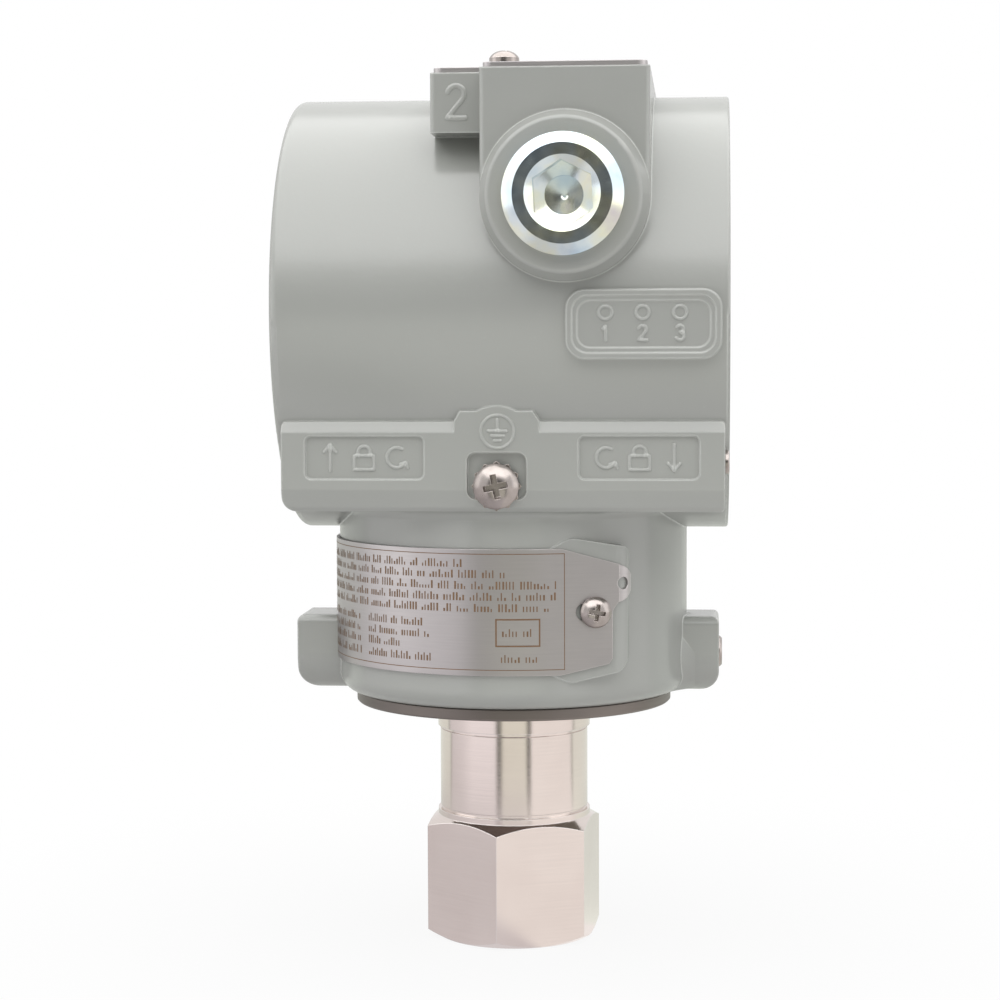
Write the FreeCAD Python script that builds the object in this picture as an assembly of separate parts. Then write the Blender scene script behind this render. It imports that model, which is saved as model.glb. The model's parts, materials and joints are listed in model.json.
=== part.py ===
import FreeCAD, Part
import math
import os

# Pressure transmitter with a two-compartment die-cast housing on a turned process connection.
# Sizes are millimetres and angles are degrees. X runs along the barrel, the front faces -Y,
# Z points up, and the origin is the centre of the hexagon's bottom face.

os.makedirs("parts", exist_ok=True)
V = FreeCAD.Vector
ORIGIN = V(0, 0, 0)
AXIS_X = V(1, 0, 0)
AXIS_Y = V(0, 1, 0)
AXIS_Z = V(0, 0, 1)

# Clearances
run_gap = 0.08          # radial clearance of a running fit
fit_gap = 0.1           # radial clearance of a screw or a static fit
free_gap = 0.3          # clearance between parts that must not rub
hole_end = 1.5          # a blind screw hole runs this much past its screw
cut_over = 1.0          # a cutter runs this much past the face it opens

# Process connection
hex_across = 30.0       # across flats
hex_height = 23.0
hex_turn = -6.7         # azimuth of the corner that nearly faces the front
hex_face_r = 14.7       # radius of the flat ring left by the bottom chamfer
hex_chamfer = 30.0      # chamfer angle from the end plane
stem_length = 21.95     # from the hexagon to the flange
stem_r = 14.0
collar_step = 0.45      # the stem's two collars stand this proud
stem_groove_w = 0.6
stem_groove_depth = 0.35
lower_groove_up = 1.4   # from the hexagon to the middle of the lower groove
upper_groove_down = 5.25  # from the flange down to the middle of the upper groove
port_r = 9.3            # half-inch female pipe thread, bored to its core
port_depth = 17.0
passage_r = 4.0
drill_cone = 59.0       # half angle of a drilled hole's end
chamber_r = 11.6
chamber_depth = 2.0
diaphragm_t = 0.25
diaphragm_waves = 4
diaphragm_wave_h = 0.35

# Sensor body inside the housing neck
flange_t = 2.25
flange_step = 4.4       # the flange is this much wider than the spigot, on the radius
flange_edge = 0.3
spigot_r = 25.4
spigot_length = 20.8
spigot_wall = 2.2
sensor_floor = 5.0
lock_groove_w = 4.4
lock_groove_depth = 1.2
ring_groove_down = 6.0  # from the spigot's top down to the middle of the ring groove
ring_groove_w = 2.0
ring_groove_depth = 1.6
ring_section_r = 0.7
capsule_wall_gap = 3.2  # between the capsule and the spigot's wall
capsule_h = 11.0
capsule_neck_r = 9.0
capsule_neck_h = 2.0
fill_hole_r = 1.5
pin_count = 5
pin_circle_r = 5.5
pin_r = 0.5
pin_h = 3.5
sensor_board_gap = 1.7  # between the board and the spigot's wall
sensor_board_t = 1.6
sensor_chip_half = 4.0
sensor_chip_t = 1.2
sensor_plug_x = -12.0
sensor_plug_w = 3.0
sensor_plug_half = 6.0
sensor_plug_h = 4.0

# Barrel of the housing
barrel_r = 40.0
barrel_length = 80.0
barrel_offset = 0.5     # the barrel's middle lies this far to +X of the neck
rim_round = 1.5
right_rim_round = 0.5
partition_x0 = -3.0
partition_t = 4.4
cavity_wall = 6.5
thread_wall = 5.0       # barrel wall round the covers' threads
thread_bore_depth = 15.5
head_wall = 2.4         # barrel wall round the covers' heads
head_bore_depth = 4.3

# Neck of the housing
neck_wall = 7.45        # round the sensor body
neck_gap = 0.1          # between the neck's foot and the flange
neck_h = 30.5           # from the neck's foot to the barrel's lowest line
neck_foot_step = 2.25
neck_round_h = 3.4
neck_fillet_share = 0.48  # of the step from the neck out to the skirt's face
neck_cavity_h = 26.2
cable_bore_r = 5.5
cable_bore_x = -14.0

# Skirt under the barrel, front and back; heights count from the barrel's lowest line
skirt_in = 3.4          # its face lies this far behind the barrel's front line
skirt_left_inset = 1.5
skirt_right_inset = 0.8
skirt_foot = 5.0
skirt_crease = 8.95
skirt_bevel = 18.95
skirt_height = 20.95
skirt_bevel_in = 0.85
skirt_draft_in = 1.0
skirt_foot_round = 0.8
skirt_low_round = 2.6
skirt_right_round = 0.9
skirt_high_round = 1.0
skirt_root = 0.45       # share of the barrel's radius where the skirt's prisms end
earth_pad_half = 7.5
earth_pad_step = 1.1
earth_pad_rise = 1.8    # above the skirt's top
earth_bulge_half = 3.5
earth_bulge_rise = 0.9
earth_x = 0.0
pocket_half_w = 5.2
pocket_up = 2.3         # from the skirt's foot
pocket_h = 8.2
pocket_depth = 1.25
pocket_round = 1.6
legend_up = 5.8         # from the skirt's foot
legend_h = 7.6
legend_length = 21.0
legend_left_gap = 4.25  # from the skirt's left end
legend_right_gap = 4.4  # from the skirt's right end
legend_depth = 0.6
legend_round = 1.1

# Raised legend panel on the terminal side of the barrel
panel_end_gap = 1.5     # from the barrel's end
panel_length = 26.6
panel_down = 8.2        # below the barrel's axis
panel_h = 11.8
panel_proud = 1.0       # in front of the barrel
panel_root = 2.5        # the panel's prism ends this far inside the barrel
panel_round = 3.2
panel_border = 1.0
panel_step = 0.9        # a shallow step runs round inside the border
panel_step_depth = 0.25
panel_recess = 0.5

# Saddle block with the two conduit entries, and the push-button bar beside it
conduit_x = 12.2
conduit_down = 21.95    # from the block's top to the entries' axis
block_half = 14.6
block_rise = 1.6        # above the barrel
block_proud = 1.0       # in front of the barrel
block_round = 0.8
boss_h = 3.5
boss_face_r = 12.5
boss_shoulder_r = 13.5
boss_shoulder_in = 0.6
conduit_r = 9.3         # half-inch female pipe thread, bored to its core
conduit_depth = 12.5
wire_passage_r = 7.5
bar_w = 9.35
bar_in = 7.9            # its ends lie this far behind the block's faces
bar_h = 10.45

# Rotation lock lugs on the neck
lug_r = 7.2
lug_up = 6.8            # axis above the neck's foot
lug_left_proud = 7.55   # beyond the neck
lug_right_proud = 6.05
lug_low_round = 4.2
lug_high_round = 1.2
lug_corner_round = 1.5
lug_flare_r = 12.5
lug_flare_in = 3.85
lug_flare_out = 1.55

# Conduit plug
plug_head_r = 10.4
plug_head_h = 3.5
plug_face_r = 8.5
plug_bevel_h = 1.4
plug_sink_r = 6.5
plug_socket_across = 10.0
plug_socket_depth = 4.6
plug_socket_turn = 33.4  # azimuth of one corner
plug_floor_slope = 22.0  # of the cone that the socket ends on
plug_sink_slope = 40.0  # of the countersink at the socket's mouth
plug_drill_r = 3.35
plug_drill_depth = 1.4
plug_drill_slope = 8.0
plug_shank = 11.5
plug_neck_w = 0.6
plug_neck_depth = 0.4
plug_tip = 0.8

# Screws
m3_r = 1.45
m3_head_r = 2.8
m3_head_h = 2.2
m4_r = 1.95
m4_head_r = 4.0
m4_head_h = 2.7
ground_screw_up = 2.35  # from the pocket's foot
ground_screw_length = 9.0
ground_seat_sunk = 0.45  # the washer's seat lies this far behind the skirt's face
washer_r = 4.4
washer_t = 0.8
washer_teeth = 12
washer_tooth = 0.55
washer_rest = 3.2       # radius of the seat left standing in the pocket
set_screw_r = 2.9
set_screw_proud = 0.6
set_screw_sunk = 1.5
set_screw_dog_r = 1.6
set_screw_dog_h = 1.2
set_socket_across = 3.0
set_socket_depth = 3.0
lock_screw_head_h = 0.75
lock_screw_head_r = 2.1
lock_screw_r = 1.2
lock_screw_length = 7.0
lock_screw_up = 8.7     # from the skirt's foot
lock_screw_in = 3.0     # behind the skirt's face
lock_screw_sunk = 0.9   # the left screw's seat is counterbored this deep
lock_socket_across = 1.5
lock_socket_depth = 1.95

# Name plate wrapped round the neck, with a flat end on a raised pad at each side
plate_t = 0.5
plate_gap = 0.15
plate_up = 6.3          # from the neck's foot
plate_h = 22.5
plate_turn = 14.0       # azimuth where the right flat end begins
plate_middle = -42.5    # azimuth of the plate's middle
pad_gap = 0.1
pad_end = 15.9
pad_over = 1.9          # the pad runs this far past the plate's top
pad_under = 1.6
pad_round = 3.0
pad_depth = 16.0
plate_screw_s = 9.05
plate_screw_up = 11.2   # from the plate's foot
plate_screw_length = 7.0
plate_slot_run = 1.85
plate_slot_half = 1.6
ear_s = 12.85
ear_down = 6.3          # from the plate's top
ear_r = 3.35
ear_turn = 58.0
ear_bend = 3.1          # inner radius of the bend, just over the pad's round edge
ear_hole_s = 14.4
ear_hole_r = 1.1
lug_relief = 1.0

# Swinging cover plate and the push-buttons under it
cover_plate_t = 0.9
cover_plate_inset = 0.5
cover_plate_round = 1.6
pivot_in = 4.0          # from the block's left side
pivot_end = 4.5         # from the block's face
pivot_length = 9.0
rear_slot_gap = 0.4     # radial clearance of the slot at the rear screw
button_in = 4.55        # from the bar's left side
button_end = 13.1       # from the bar's end
button_head_r = 3.0
button_head_h = 3.4
button_sunk = 0.5
button_stem_r = 1.5
button_length = 16.6
button_travel = 2.0
button_slot_half = 0.4
button_slot_depth = 0.8
button_edge = 0.4
spring_down = 8.2       # from the block's top to the springs' seat
spring_wire_w = 0.5     # the springs are wound from flat wire
spring_wire_t = 0.35
spring_turns = 3.0
clip_r = 2.5
clip_t = 0.8
clip_up = 1.3           # from the stem's end
clip_mouth_half = 0.8
clip_groove_depth = 0.4
clip_slack = 0.02       # axial clearance of the clip in its groove

# Screwed covers
cover_head_t = 4.0
cover_sunk = 0.2
cover_skirt = 10.0
cover_skirt_wall = 4.2
cover_web = 3.6
cover_edge = 0.5
cover_rim_w = 8.3
cover_dish_depth = 3.4
cover_dish_draft = 1.2
cover_bar_w = 12.0
cover_bar_draft = 1.0
cover_bar_sunk = 0.4
cover_groove_a = 0.3
cover_groove_w = 2.0
cover_groove_depth = 1.9

# Terminal compartment; heights count from the barrel's axis or the block's foot
terminal_w = 42.0
terminal_h = 22.0
terminal_t = 12.0
terminal_down = 9.3
terminal_round = 3.0
terminal_count = 3
terminal_pitch = 12.5
terminal_bay_w = 10.0
terminal_bay_h = 15.0
terminal_bay_depth = 5.0
terminal_bay_round = 0.8
clamp_size = 8.0
clamp_t = 1.0
clamp_margin = 1.0      # from the clamp's top edge to the bay's top
terminal_screw_r = 1.6
terminal_head_r = 3.2
terminal_head_h = 2.2
terminal_screw_length = 7.0
inner_ground_up = 5.3   # from the compartment's wall
inner_ground_length = 5.5
inner_boss_r = 5.5
inner_boss_h = 3.5
seal_r = 5.0
seal_pin_y = 2.4
seal_pin_r = 0.5
seal_pin_gap = 0.02
seal_pin_proud = 1.2
seal_recess = 1.5

# Electronics compartment
module_wall_gap = 6.5
module_t = 14.0
module_flat_gap = 3.0     # between the switches and the module's step
board_wall_gap = 7.5
board_t = 1.6
board_spacer = 3.0
spacer_r = 2.65
board_screw_edge = 4.5
board_screw_count = 3
board_screw_grip = 5.0
switch_size = 6.0
switch_body_h = 5.0
switch_key_r = 1.5
switch_key_h = 1.0
chip_half = 9.0
chip_t = 2.2
header_y0 = 12.0
header_y1 = 19.0
header_z0 = -8.0        # the ends of header and coil are counted from the barrel's axis
header_z1 = 4.0
header_t = 4.0
coil_y0 = -19.0
coil_y1 = -13.0
coil_z0 = -5.0
coil_z1 = 3.0
coil_t = 3.0
board_part_round = 0.5

# Places on the process side
collar_r = stem_r + collar_step
flange_z = hex_height + stem_length
flange_r = spigot_r + flange_step
flange_top = flange_z + flange_t
lower_groove_z = hex_height + lower_groove_up
upper_groove_z = flange_z - upper_groove_down
spigot_top = flange_top + spigot_length
spigot_inner_r = spigot_r - spigot_wall
ring_groove_z = spigot_top - ring_groove_down
sensor_floor_z = flange_z + sensor_floor
capsule_r = spigot_inner_r - capsule_wall_gap
capsule_top = sensor_floor_z + capsule_h + capsule_neck_h
sensor_board_z = capsule_top + pin_h
sensor_board_r = spigot_inner_r - sensor_board_gap

# Places on the housing
neck_z = flange_top + neck_gap
neck_r = spigot_r + neck_wall
neck_foot_r = neck_r - neck_foot_step
neck_bore_r = spigot_r + fit_gap
neck_cavity_top = neck_z + neck_cavity_h
barrel_low = neck_z + neck_h
barrel_z = barrel_low + barrel_r
barrel_x0 = barrel_offset - barrel_length / 2
barrel_x1 = barrel_offset + barrel_length / 2
partition_x1 = partition_x0 + partition_t
cavity_r = barrel_r - cavity_wall
thread_bore_r = barrel_r - thread_wall
head_bore_r = barrel_r - head_wall
skirt_face = barrel_r - skirt_in
neck_fillet = (skirt_face - neck_r) * neck_fillet_share
skirt_x0 = barrel_x0 + skirt_left_inset
skirt_x1 = barrel_x1 - skirt_right_inset
skirt_bottom = barrel_low + skirt_foot
skirt_crease_z = barrel_low + skirt_crease
skirt_bevel_z = barrel_low + skirt_bevel
skirt_top = barrel_low + skirt_height
earth_pad_z = skirt_top + earth_pad_rise
earth_bulge_z = earth_pad_z + earth_bulge_rise
pocket_z0 = skirt_bottom + pocket_up
pocket_z1 = pocket_z0 + pocket_h
legend_z0 = skirt_bottom + legend_up
legend_z1 = legend_z0 + legend_h
legend_left_x = skirt_x0 + legend_left_gap
legend_right_x = skirt_x1 - legend_right_gap - legend_length
panel_x1 = barrel_x1 - panel_end_gap
panel_x0 = panel_x1 - panel_length
panel_z0 = barrel_z - panel_down
panel_z1 = panel_z0 + panel_h
panel_face = barrel_r + panel_proud
block_x0 = conduit_x - block_half
block_x1 = conduit_x + block_half
block_face = barrel_r + block_proud
block_top = barrel_z + barrel_r + block_rise
conduit_z = block_top - conduit_down
boss_face = block_face + boss_h
bar_x0 = block_x0 - bar_w
bar_face = block_face - bar_in
bar_bottom = block_top - bar_h
lug_z = neck_z + lug_up
lug_left_x = neck_r + lug_left_proud
lug_right_x = neck_r + lug_right_proud
lug_start_x = flange_r + free_gap
lug_flare_x0 = neck_r - lug_flare_in
lug_flare_x1 = neck_r + lug_flare_out
plate_z0 = neck_z + plate_up
plate_z1 = plate_z0 + plate_h
plate_screw_z = plate_z0 + plate_screw_up
plate_slot_s = plate_screw_s - plate_slot_run
ear_z = plate_z1 - ear_down

# Places of the pieces on and in the housing
plug_shank_r = conduit_r - fit_gap
ground_screw_z = pocket_z0 + ground_screw_up
ground_seat_y = skirt_face - ground_seat_sunk
lock_screw_z = skirt_bottom + lock_screw_up
lock_screw_y = skirt_face - lock_screw_in
cover_plate_z = block_top + cover_plate_t
pivot_x = block_x0 + pivot_in
pivot_y = block_face - pivot_end
button_x = bar_x0 + button_in
button_y = bar_face - button_end
button_top = block_top - button_sunk
button_stem_bottom = button_top - button_length
spring_seat_z = block_top - spring_down
clip_z = button_stem_bottom + clip_up
cover_head_r = head_bore_r - free_gap
cover_skirt_r = thread_bore_r - run_gap
cover_dish_r = cover_head_r - cover_rim_w
terminal_z = barrel_z - terminal_down
terminal_foot = terminal_z - terminal_h / 2
terminal_face = partition_x1 + terminal_t
clamp_x = terminal_face - terminal_bay_depth
terminal_screw_z = terminal_foot + terminal_bay_h - clamp_size / 2 - clamp_margin
inner_ground_z = barrel_z - cavity_r + inner_ground_up
inner_boss_x = partition_x1 + inner_boss_h
module_x = partition_x0 - module_t
module_r = cavity_r - module_wall_gap
module_flat_y = button_y - switch_size / 2 - module_flat_gap
module_flat_z = (button_stem_bottom - button_travel - free_gap - switch_key_h
                 - switch_body_h)
board_back_x = module_x - board_spacer
board_r = cavity_r - board_wall_gap
board_screw_circle = board_r - board_screw_edge


# Helpers for outlines and solids
def closed_wire(points, place):
    """Wire through flat points; a point with a third item is the middle of an arc."""
    edges = []
    count = len(points)
    index = 0
    while index < count:
        here = place(*points[index][:2])
        following = points[(index + 1) % count]
        if len(following) == 3:
            end = place(*points[(index + 2) % count][:2])
            edges.append(Part.Arc(here, place(*following[:2]), end).toShape())
            index += 2
        else:
            edges.append(Part.LineSegment(here, place(*following)).toShape())
            index += 1
    return Part.Wire(edges)


def soften(corners, radii):
    """Round the corners of a closed outline, each with its own radius."""
    points = []
    count = len(corners)
    for index, (u, v) in enumerate(corners):
        radius = radii[index] if isinstance(radii, list) else radii
        if radius == 0:
            points.append((u, v))
            continue
        before = corners[index - 1]
        after = corners[(index + 1) % count]
        back = math.hypot(before[0] - u, before[1] - v)
        ahead = math.hypot(after[0] - u, after[1] - v)
        a = ((before[0] - u) / back, (before[1] - v) / back)
        b = ((after[0] - u) / ahead, (after[1] - v) / ahead)
        half = math.acos(a[0] * b[0] + a[1] * b[1]) / 2
        reach = radius / math.tan(half)
        size = math.hypot(a[0] + b[0], a[1] + b[1])
        middle = ((a[0] + b[0]) / size, (a[1] + b[1]) / size)
        depth = radius / math.sin(half) - radius
        points.append((u + a[0] * reach, v + a[1] * reach))
        points.append((u + middle[0] * depth, v + middle[1] * depth, "middle"))
        points.append((u + b[0] * reach, v + b[1] * reach))
    return points


def rectangle(u0, u1, v0, v1, radii=0):
    return soften([(u0, v0), (u1, v0), (u1, v1), (u0, v1)], radii)


def prism(points, place, sweep):
    return Part.Face(closed_wire(points, place)).extrude(sweep)


def front_prism(points, y0, y1):
    """Outline in X and Z, extruded from y0 to y1."""
    return prism(points, lambda x, z: V(x, y0, z), V(0, y1 - y0, 0))


def side_prism(points, x0, x1):
    """Outline in Y and Z, extruded from x0 to x1."""
    return prism(points, lambda y, z: V(x0, y, z), V(x1 - x0, 0, 0))


def top_prism(points, z0, z1):
    """Outline in X and Y, extruded from z0 to z1."""
    return prism(points, lambda x, y: V(x, y, z0), V(0, 0, z1 - z0))


def box(x0, x1, y0, y1, z0, z1):
    return Part.makeBox(x1 - x0, y1 - y0, z1 - z0, V(x0, y0, z0))


def rod(radius, start, axis, length):
    return Part.makeCylinder(radius, length, start, axis)


def turned(profile, start=ORIGIN, axis=AXIS_Z):
    """Revolve (distance along the axis, radius) points round the axis."""
    face = Part.Face(closed_wire(profile, lambda a, r: V(r, 0, a)))
    solid = face.revolve(ORIGIN, AXIS_Z, 360)
    solid.Placement = FreeCAD.Placement(start, FreeCAD.Rotation(AXIS_Z, axis))
    return solid


def hexagon(across, start, axis, length, turn=0.0):
    """Hexagonal rod; turn is the azimuth of one corner round the axis."""
    corner_r = across / math.sqrt(3)
    corners = []
    for index in range(6):
        angle = math.radians(turn + 60 * index)
        corners.append((corner_r * math.cos(angle), corner_r * math.sin(angle)))
    solid = top_prism(corners, 0, length)
    solid.Placement = FreeCAD.Placement(start, FreeCAD.Rotation(AXIS_Z, axis))
    return solid


def torus(ring_r, section_r, centre, axis):
    return Part.makeTorus(ring_r, section_r, centre, axis)


def joined(first, others):
    return first.fuse(others).removeSplitter()


def group(solids):
    return Part.makeCompound(solids)


def mirrored_y(shape):
    return shape.mirror(ORIGIN, AXIS_Y)


def cross_recess(head_r, depth, top, axis, turn):
    """Tapered cross driver recess that opens at the head's top."""
    arm = head_r * 0.95
    width = head_r * 0.27
    cutters = []
    for index in range(2):
        corners = [(-arm / 2, -depth), (arm / 2, -depth), (arm * 0.66, depth), (-arm * 0.66, depth)]
        blade = prism(corners, lambda u, a: V(u, -width / 2, a), V(0, width, 0))
        blade.rotate(ORIGIN, AXIS_Z, turn + 90 * index)
        cutters.append(blade)
    cutter = cutters[0].fuse(cutters[1])
    cutter.Placement = FreeCAD.Placement(top, FreeCAD.Rotation(AXIS_Z, axis))
    return cutter


def pan_screw(shank_r, length, head_r, head_h, seat, axis, turn=20.0):
    """Pan head screw; axis points out of the head, seat is the head's underside."""
    side = head_h * 0.45
    profile = [(-length, 0), (-length, shank_r * 0.8), (-length + shank_r * 0.4, shank_r),
               (0, shank_r), (0, head_r), (side, head_r),
               (head_h * 0.86, head_r * 0.66, "middle"), (head_h, 0)]
    screw = turned(profile, seat, axis)
    recess_depth = head_h * 0.62
    top = seat + axis * head_h
    return screw.cut(cross_recess(head_r, recess_depth, top, axis, turn))


# Process side
def process_adapter():
    slope = math.tan(math.radians(hex_chamfer))
    corner_r = hex_across / math.sqrt(3)
    wide = corner_r + 1
    bottom_rise = (wide - hex_face_r) * slope
    top_rise = (wide - collar_r) * slope
    envelope = turned([(0, 0), (0, hex_face_r), (bottom_rise, wide),
                       (hex_height - top_rise, wide), (hex_height, collar_r), (hex_height, 0)])
    body = hexagon(hex_across, ORIGIN, AXIS_Z, hex_height, hex_turn - 90).common(envelope)
    groove_r = stem_r - stem_groove_depth
    half = stem_groove_w / 2
    stem = turned([(hex_height - 1, 0), (hex_height - 1, stem_r - 1), (hex_height, stem_r - 1),
                   (hex_height, collar_r),
                   (lower_groove_z - half, collar_r), (lower_groove_z - half, groove_r),
                   (lower_groove_z + half, groove_r), (lower_groove_z + half, stem_r),
                   (upper_groove_z - half, stem_r), (upper_groove_z - half, groove_r),
                   (upper_groove_z + half, groove_r), (upper_groove_z + half, collar_r),
                   (flange_z, collar_r), (flange_z, 0)])
    body = joined(body, [stem])
    cone = (port_r - passage_r) / math.tan(math.radians(drill_cone))
    chamber_z = flange_z - chamber_depth
    bore = turned([(0, 0), (0, port_r), (port_depth, port_r), (port_depth + cone, passage_r),
                   (chamber_z, passage_r), (chamber_z, chamber_r), (flange_z, chamber_r),
                   (flange_z, 0)])
    return body.cut(bore)


def isolating_diaphragm():
    """Thin disc with round corrugations, welded under the sensor body's face."""
    rim_r = chamber_r - fit_gap
    flat_r = rim_r * 0.3
    step = (rim_r - 1.0 - flat_r) / (2 * diaphragm_waves)
    top = flange_z - fit_gap
    upper = [(top, 0), (top, flat_r)]
    lower = [(top - diaphragm_t, 0), (top - diaphragm_t, flat_r)]
    for index in range(2 * diaphragm_waves):
        drop = diaphragm_wave_h if index % 2 == 0 else 0
        radius = flat_r + step * (index + 1)
        upper.append((top - drop, radius))
        lower.append((top - drop - diaphragm_t, radius))
    upper.append((top, rim_r))
    lower.append((top - diaphragm_t, rim_r))
    return turned(upper + lower[::-1])


def sensor_body():
    """Flange that carries the housing, with the spigot that the housing turns on."""
    groove_r = spigot_r - ring_groove_depth
    lock_r = spigot_r - lock_groove_depth
    ring_half = ring_groove_w / 2
    lock_half = lock_groove_w / 2
    inner_r = spigot_inner_r
    fill_r = fill_hole_r
    edge = flange_edge
    profile = [(flange_z, fill_r), (flange_z, flange_r - edge), (flange_z + edge, flange_r),
               (flange_top - edge, flange_r), (flange_top, flange_r - edge),
               (flange_top, spigot_r), (lug_z - lock_half, spigot_r), (lug_z - lock_half, lock_r),
               (lug_z + lock_half, lock_r), (lug_z + lock_half, spigot_r),
               (ring_groove_z - ring_half, spigot_r), (ring_groove_z - ring_half, groove_r),
               (ring_groove_z + ring_half, groove_r), (ring_groove_z + ring_half, spigot_r),
               (spigot_top - 1, spigot_r), (spigot_top, spigot_r - 1), (spigot_top, inner_r),
               (sensor_floor_z, inner_r), (sensor_floor_z, fill_r)]
    return turned(profile)


def sensor_capsule():
    profile = [(sensor_floor_z, 0), (sensor_floor_z, capsule_r),
               (sensor_floor_z + capsule_h - 1, capsule_r),
               (sensor_floor_z + capsule_h, capsule_r - 1),
               (sensor_floor_z + capsule_h, capsule_neck_r),
               (capsule_top, capsule_neck_r), (capsule_top, 0)]
    return turned(profile)


def capsule_pins():
    pins = []
    for index in range(pin_count):
        angle = math.radians(360 / pin_count * index)
        foot = V(pin_circle_r * math.cos(angle), pin_circle_r * math.sin(angle), capsule_top)
        pins.append(rod(pin_r, foot, AXIS_Z, pin_h))
    return group(pins)


def sensor_board():
    board = rod(sensor_board_r, V(0, 0, sensor_board_z), AXIS_Z, sensor_board_t)
    top = sensor_board_z + sensor_board_t
    chip = box(-sensor_chip_half, sensor_chip_half, -sensor_chip_half, sensor_chip_half, top,
               top + sensor_chip_t)
    plug = box(sensor_plug_x, sensor_plug_x + sensor_plug_w, -sensor_plug_half, sensor_plug_half,
               top, top + sensor_plug_h)
    return joined(board, [chip, plug])


def neck_seal_ring():
    ring_r = spigot_r - ring_groove_depth + ring_section_r
    return torus(ring_r, ring_section_r, V(0, 0, ring_groove_z), AXIS_Z)


# Housing casting
def barrel_body():
    length = barrel_length
    bend = rim_round * (1 - math.sqrt(0.5))
    right_bend = right_rim_round * (1 - math.sqrt(0.5))
    profile = [(0, 0), (0, barrel_r - rim_round), (bend, barrel_r - bend, "middle"),
               (rim_round, barrel_r), (length - right_rim_round, barrel_r),
               (length - right_bend, barrel_r - right_bend, "middle"),
               (length, barrel_r - right_rim_round), (length, 0)]
    return turned(profile, V(barrel_x0, 0, barrel_z), AXIS_X)


def neck_body():
    rise = neck_round_h
    top = barrel_z - cavity_r + 4
    bend = neck_fillet * math.sqrt(0.5)
    profile = [(neck_z, 0), (neck_z, neck_foot_r),
               (neck_z + rise * 0.36, neck_foot_r + neck_foot_step * 0.72, "middle"),
               (neck_z + rise, neck_r), (skirt_bottom - neck_fillet, neck_r),
               (skirt_bottom - neck_fillet + bend, neck_r + neck_fillet - bend, "middle"),
               (skirt_bottom, neck_r + neck_fillet), (skirt_bottom + 1, neck_r + neck_fillet),
               (skirt_bottom + 1, neck_r), (top, neck_r), (top, 0)]
    return turned(profile)


def front_skirt():
    """Beveled block along the front of the barrel's underside."""
    inner = -barrel_r * skirt_root
    foot = -skirt_face + skirt_draft_in
    section = [(inner, skirt_bottom), (foot + skirt_foot_round, skirt_bottom),
               (foot, skirt_bottom + skirt_foot_round), (-skirt_face, skirt_crease_z),
               (-skirt_face, skirt_bevel_z), (-skirt_face + skirt_bevel_in, skirt_top),
               (inner, skirt_top)]
    block = side_prism(soften(section, [0, 0.5, 0.8, 1.0, 0.4, 0.3, 0]), skirt_x0, skirt_x1)
    corners = [skirt_low_round, skirt_right_round, skirt_high_round, skirt_high_round]
    sides = front_prism(rectangle(skirt_x0, skirt_x1, skirt_bottom, skirt_top, corners),
                        -skirt_face - cut_over, inner)
    return block.common(sides)


def earth_pad():
    """Flat face over the ground screw that runs up into the barrel."""
    half = earth_pad_half
    inner = half - earth_pad_step
    points = [(earth_x - half, skirt_crease_z + 1), (earth_x + half, skirt_crease_z + 1),
              (earth_x + half, skirt_top), (earth_x + inner, earth_pad_z),
              (earth_x + earth_bulge_half, earth_pad_z), (earth_x, earth_bulge_z, "middle"),
              (earth_x - earth_bulge_half, earth_pad_z), (earth_x - inner, earth_pad_z),
              (earth_x - half, skirt_top)]
    return front_prism(points, -skirt_face, -barrel_r * skirt_root)


def front_legends():
    """Cutters for the two sunk legend fields beside the ground screw."""
    cutters = []
    for x0 in (legend_left_x, legend_right_x):
        field = rectangle(x0, x0 + legend_length, legend_z0, legend_z1, legend_round)
        cutters.append(front_prism(field, -skirt_face - cut_over, -skirt_face + legend_depth))
    return cutters


def ground_pocket():
    """Sunk pocket of the ground screw, with a raised seat left standing in it."""
    field = rectangle(earth_x - pocket_half_w, earth_x + pocket_half_w, pocket_z0, pocket_z1,
                      pocket_round)
    pocket = front_prism(field, -skirt_face - cut_over, -skirt_face + pocket_depth)
    seat = rod(washer_rest, V(earth_x, -ground_seat_y, ground_screw_z), AXIS_Y, pocket_depth)
    return pocket.cut(seat)


def legend_panel():
    outline = rectangle(panel_x0, panel_x1, panel_z0, panel_z1, panel_round)
    cutters = []
    for inset, depth in ((panel_border, panel_step_depth),
                         (panel_border + panel_step, panel_recess)):
        field = rectangle(panel_x0 + inset, panel_x1 - inset, panel_z0 + inset,
                          panel_z1 - inset, panel_round - inset / 2)
        cutters.append(front_prism(field, -panel_face - cut_over, -panel_face + depth))
    return front_prism(outline, -panel_face, -barrel_r + panel_root).cut(cutters)


def saddle_block():
    """Block over the barrel that ends in a half round below each conduit entry."""
    low = conduit_z - block_half
    outline = [(block_x0, conduit_z), (conduit_x, low, "middle"), (block_x1, conduit_z),
               (block_x1, block_top), (block_x0, block_top)]
    block = front_prism(outline, -block_face, block_face)
    plan = rectangle(block_x0, block_x1, -block_face, block_face, block_round)
    return block.common(top_prism(plan, low - cut_over, block_top))


def conduit_boss():
    shoulder = boss_h - boss_shoulder_in
    bend_r = (boss_shoulder_r + boss_face_r) / 2 + 0.2
    profile = [(-8, 0), (-8, block_half), (0, block_half), (shoulder, boss_shoulder_r),
               (boss_h - 0.15, bend_r, "middle"), (boss_h, boss_face_r), (boss_h, 0)]
    return turned(profile, V(conduit_x, -block_face, conduit_z), V(0, -1, 0))


def button_bar():
    plan = rectangle(bar_x0, block_x0 + 2, -bar_face, bar_face, block_round)
    return top_prism(plan, bar_bottom, block_top)


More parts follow.
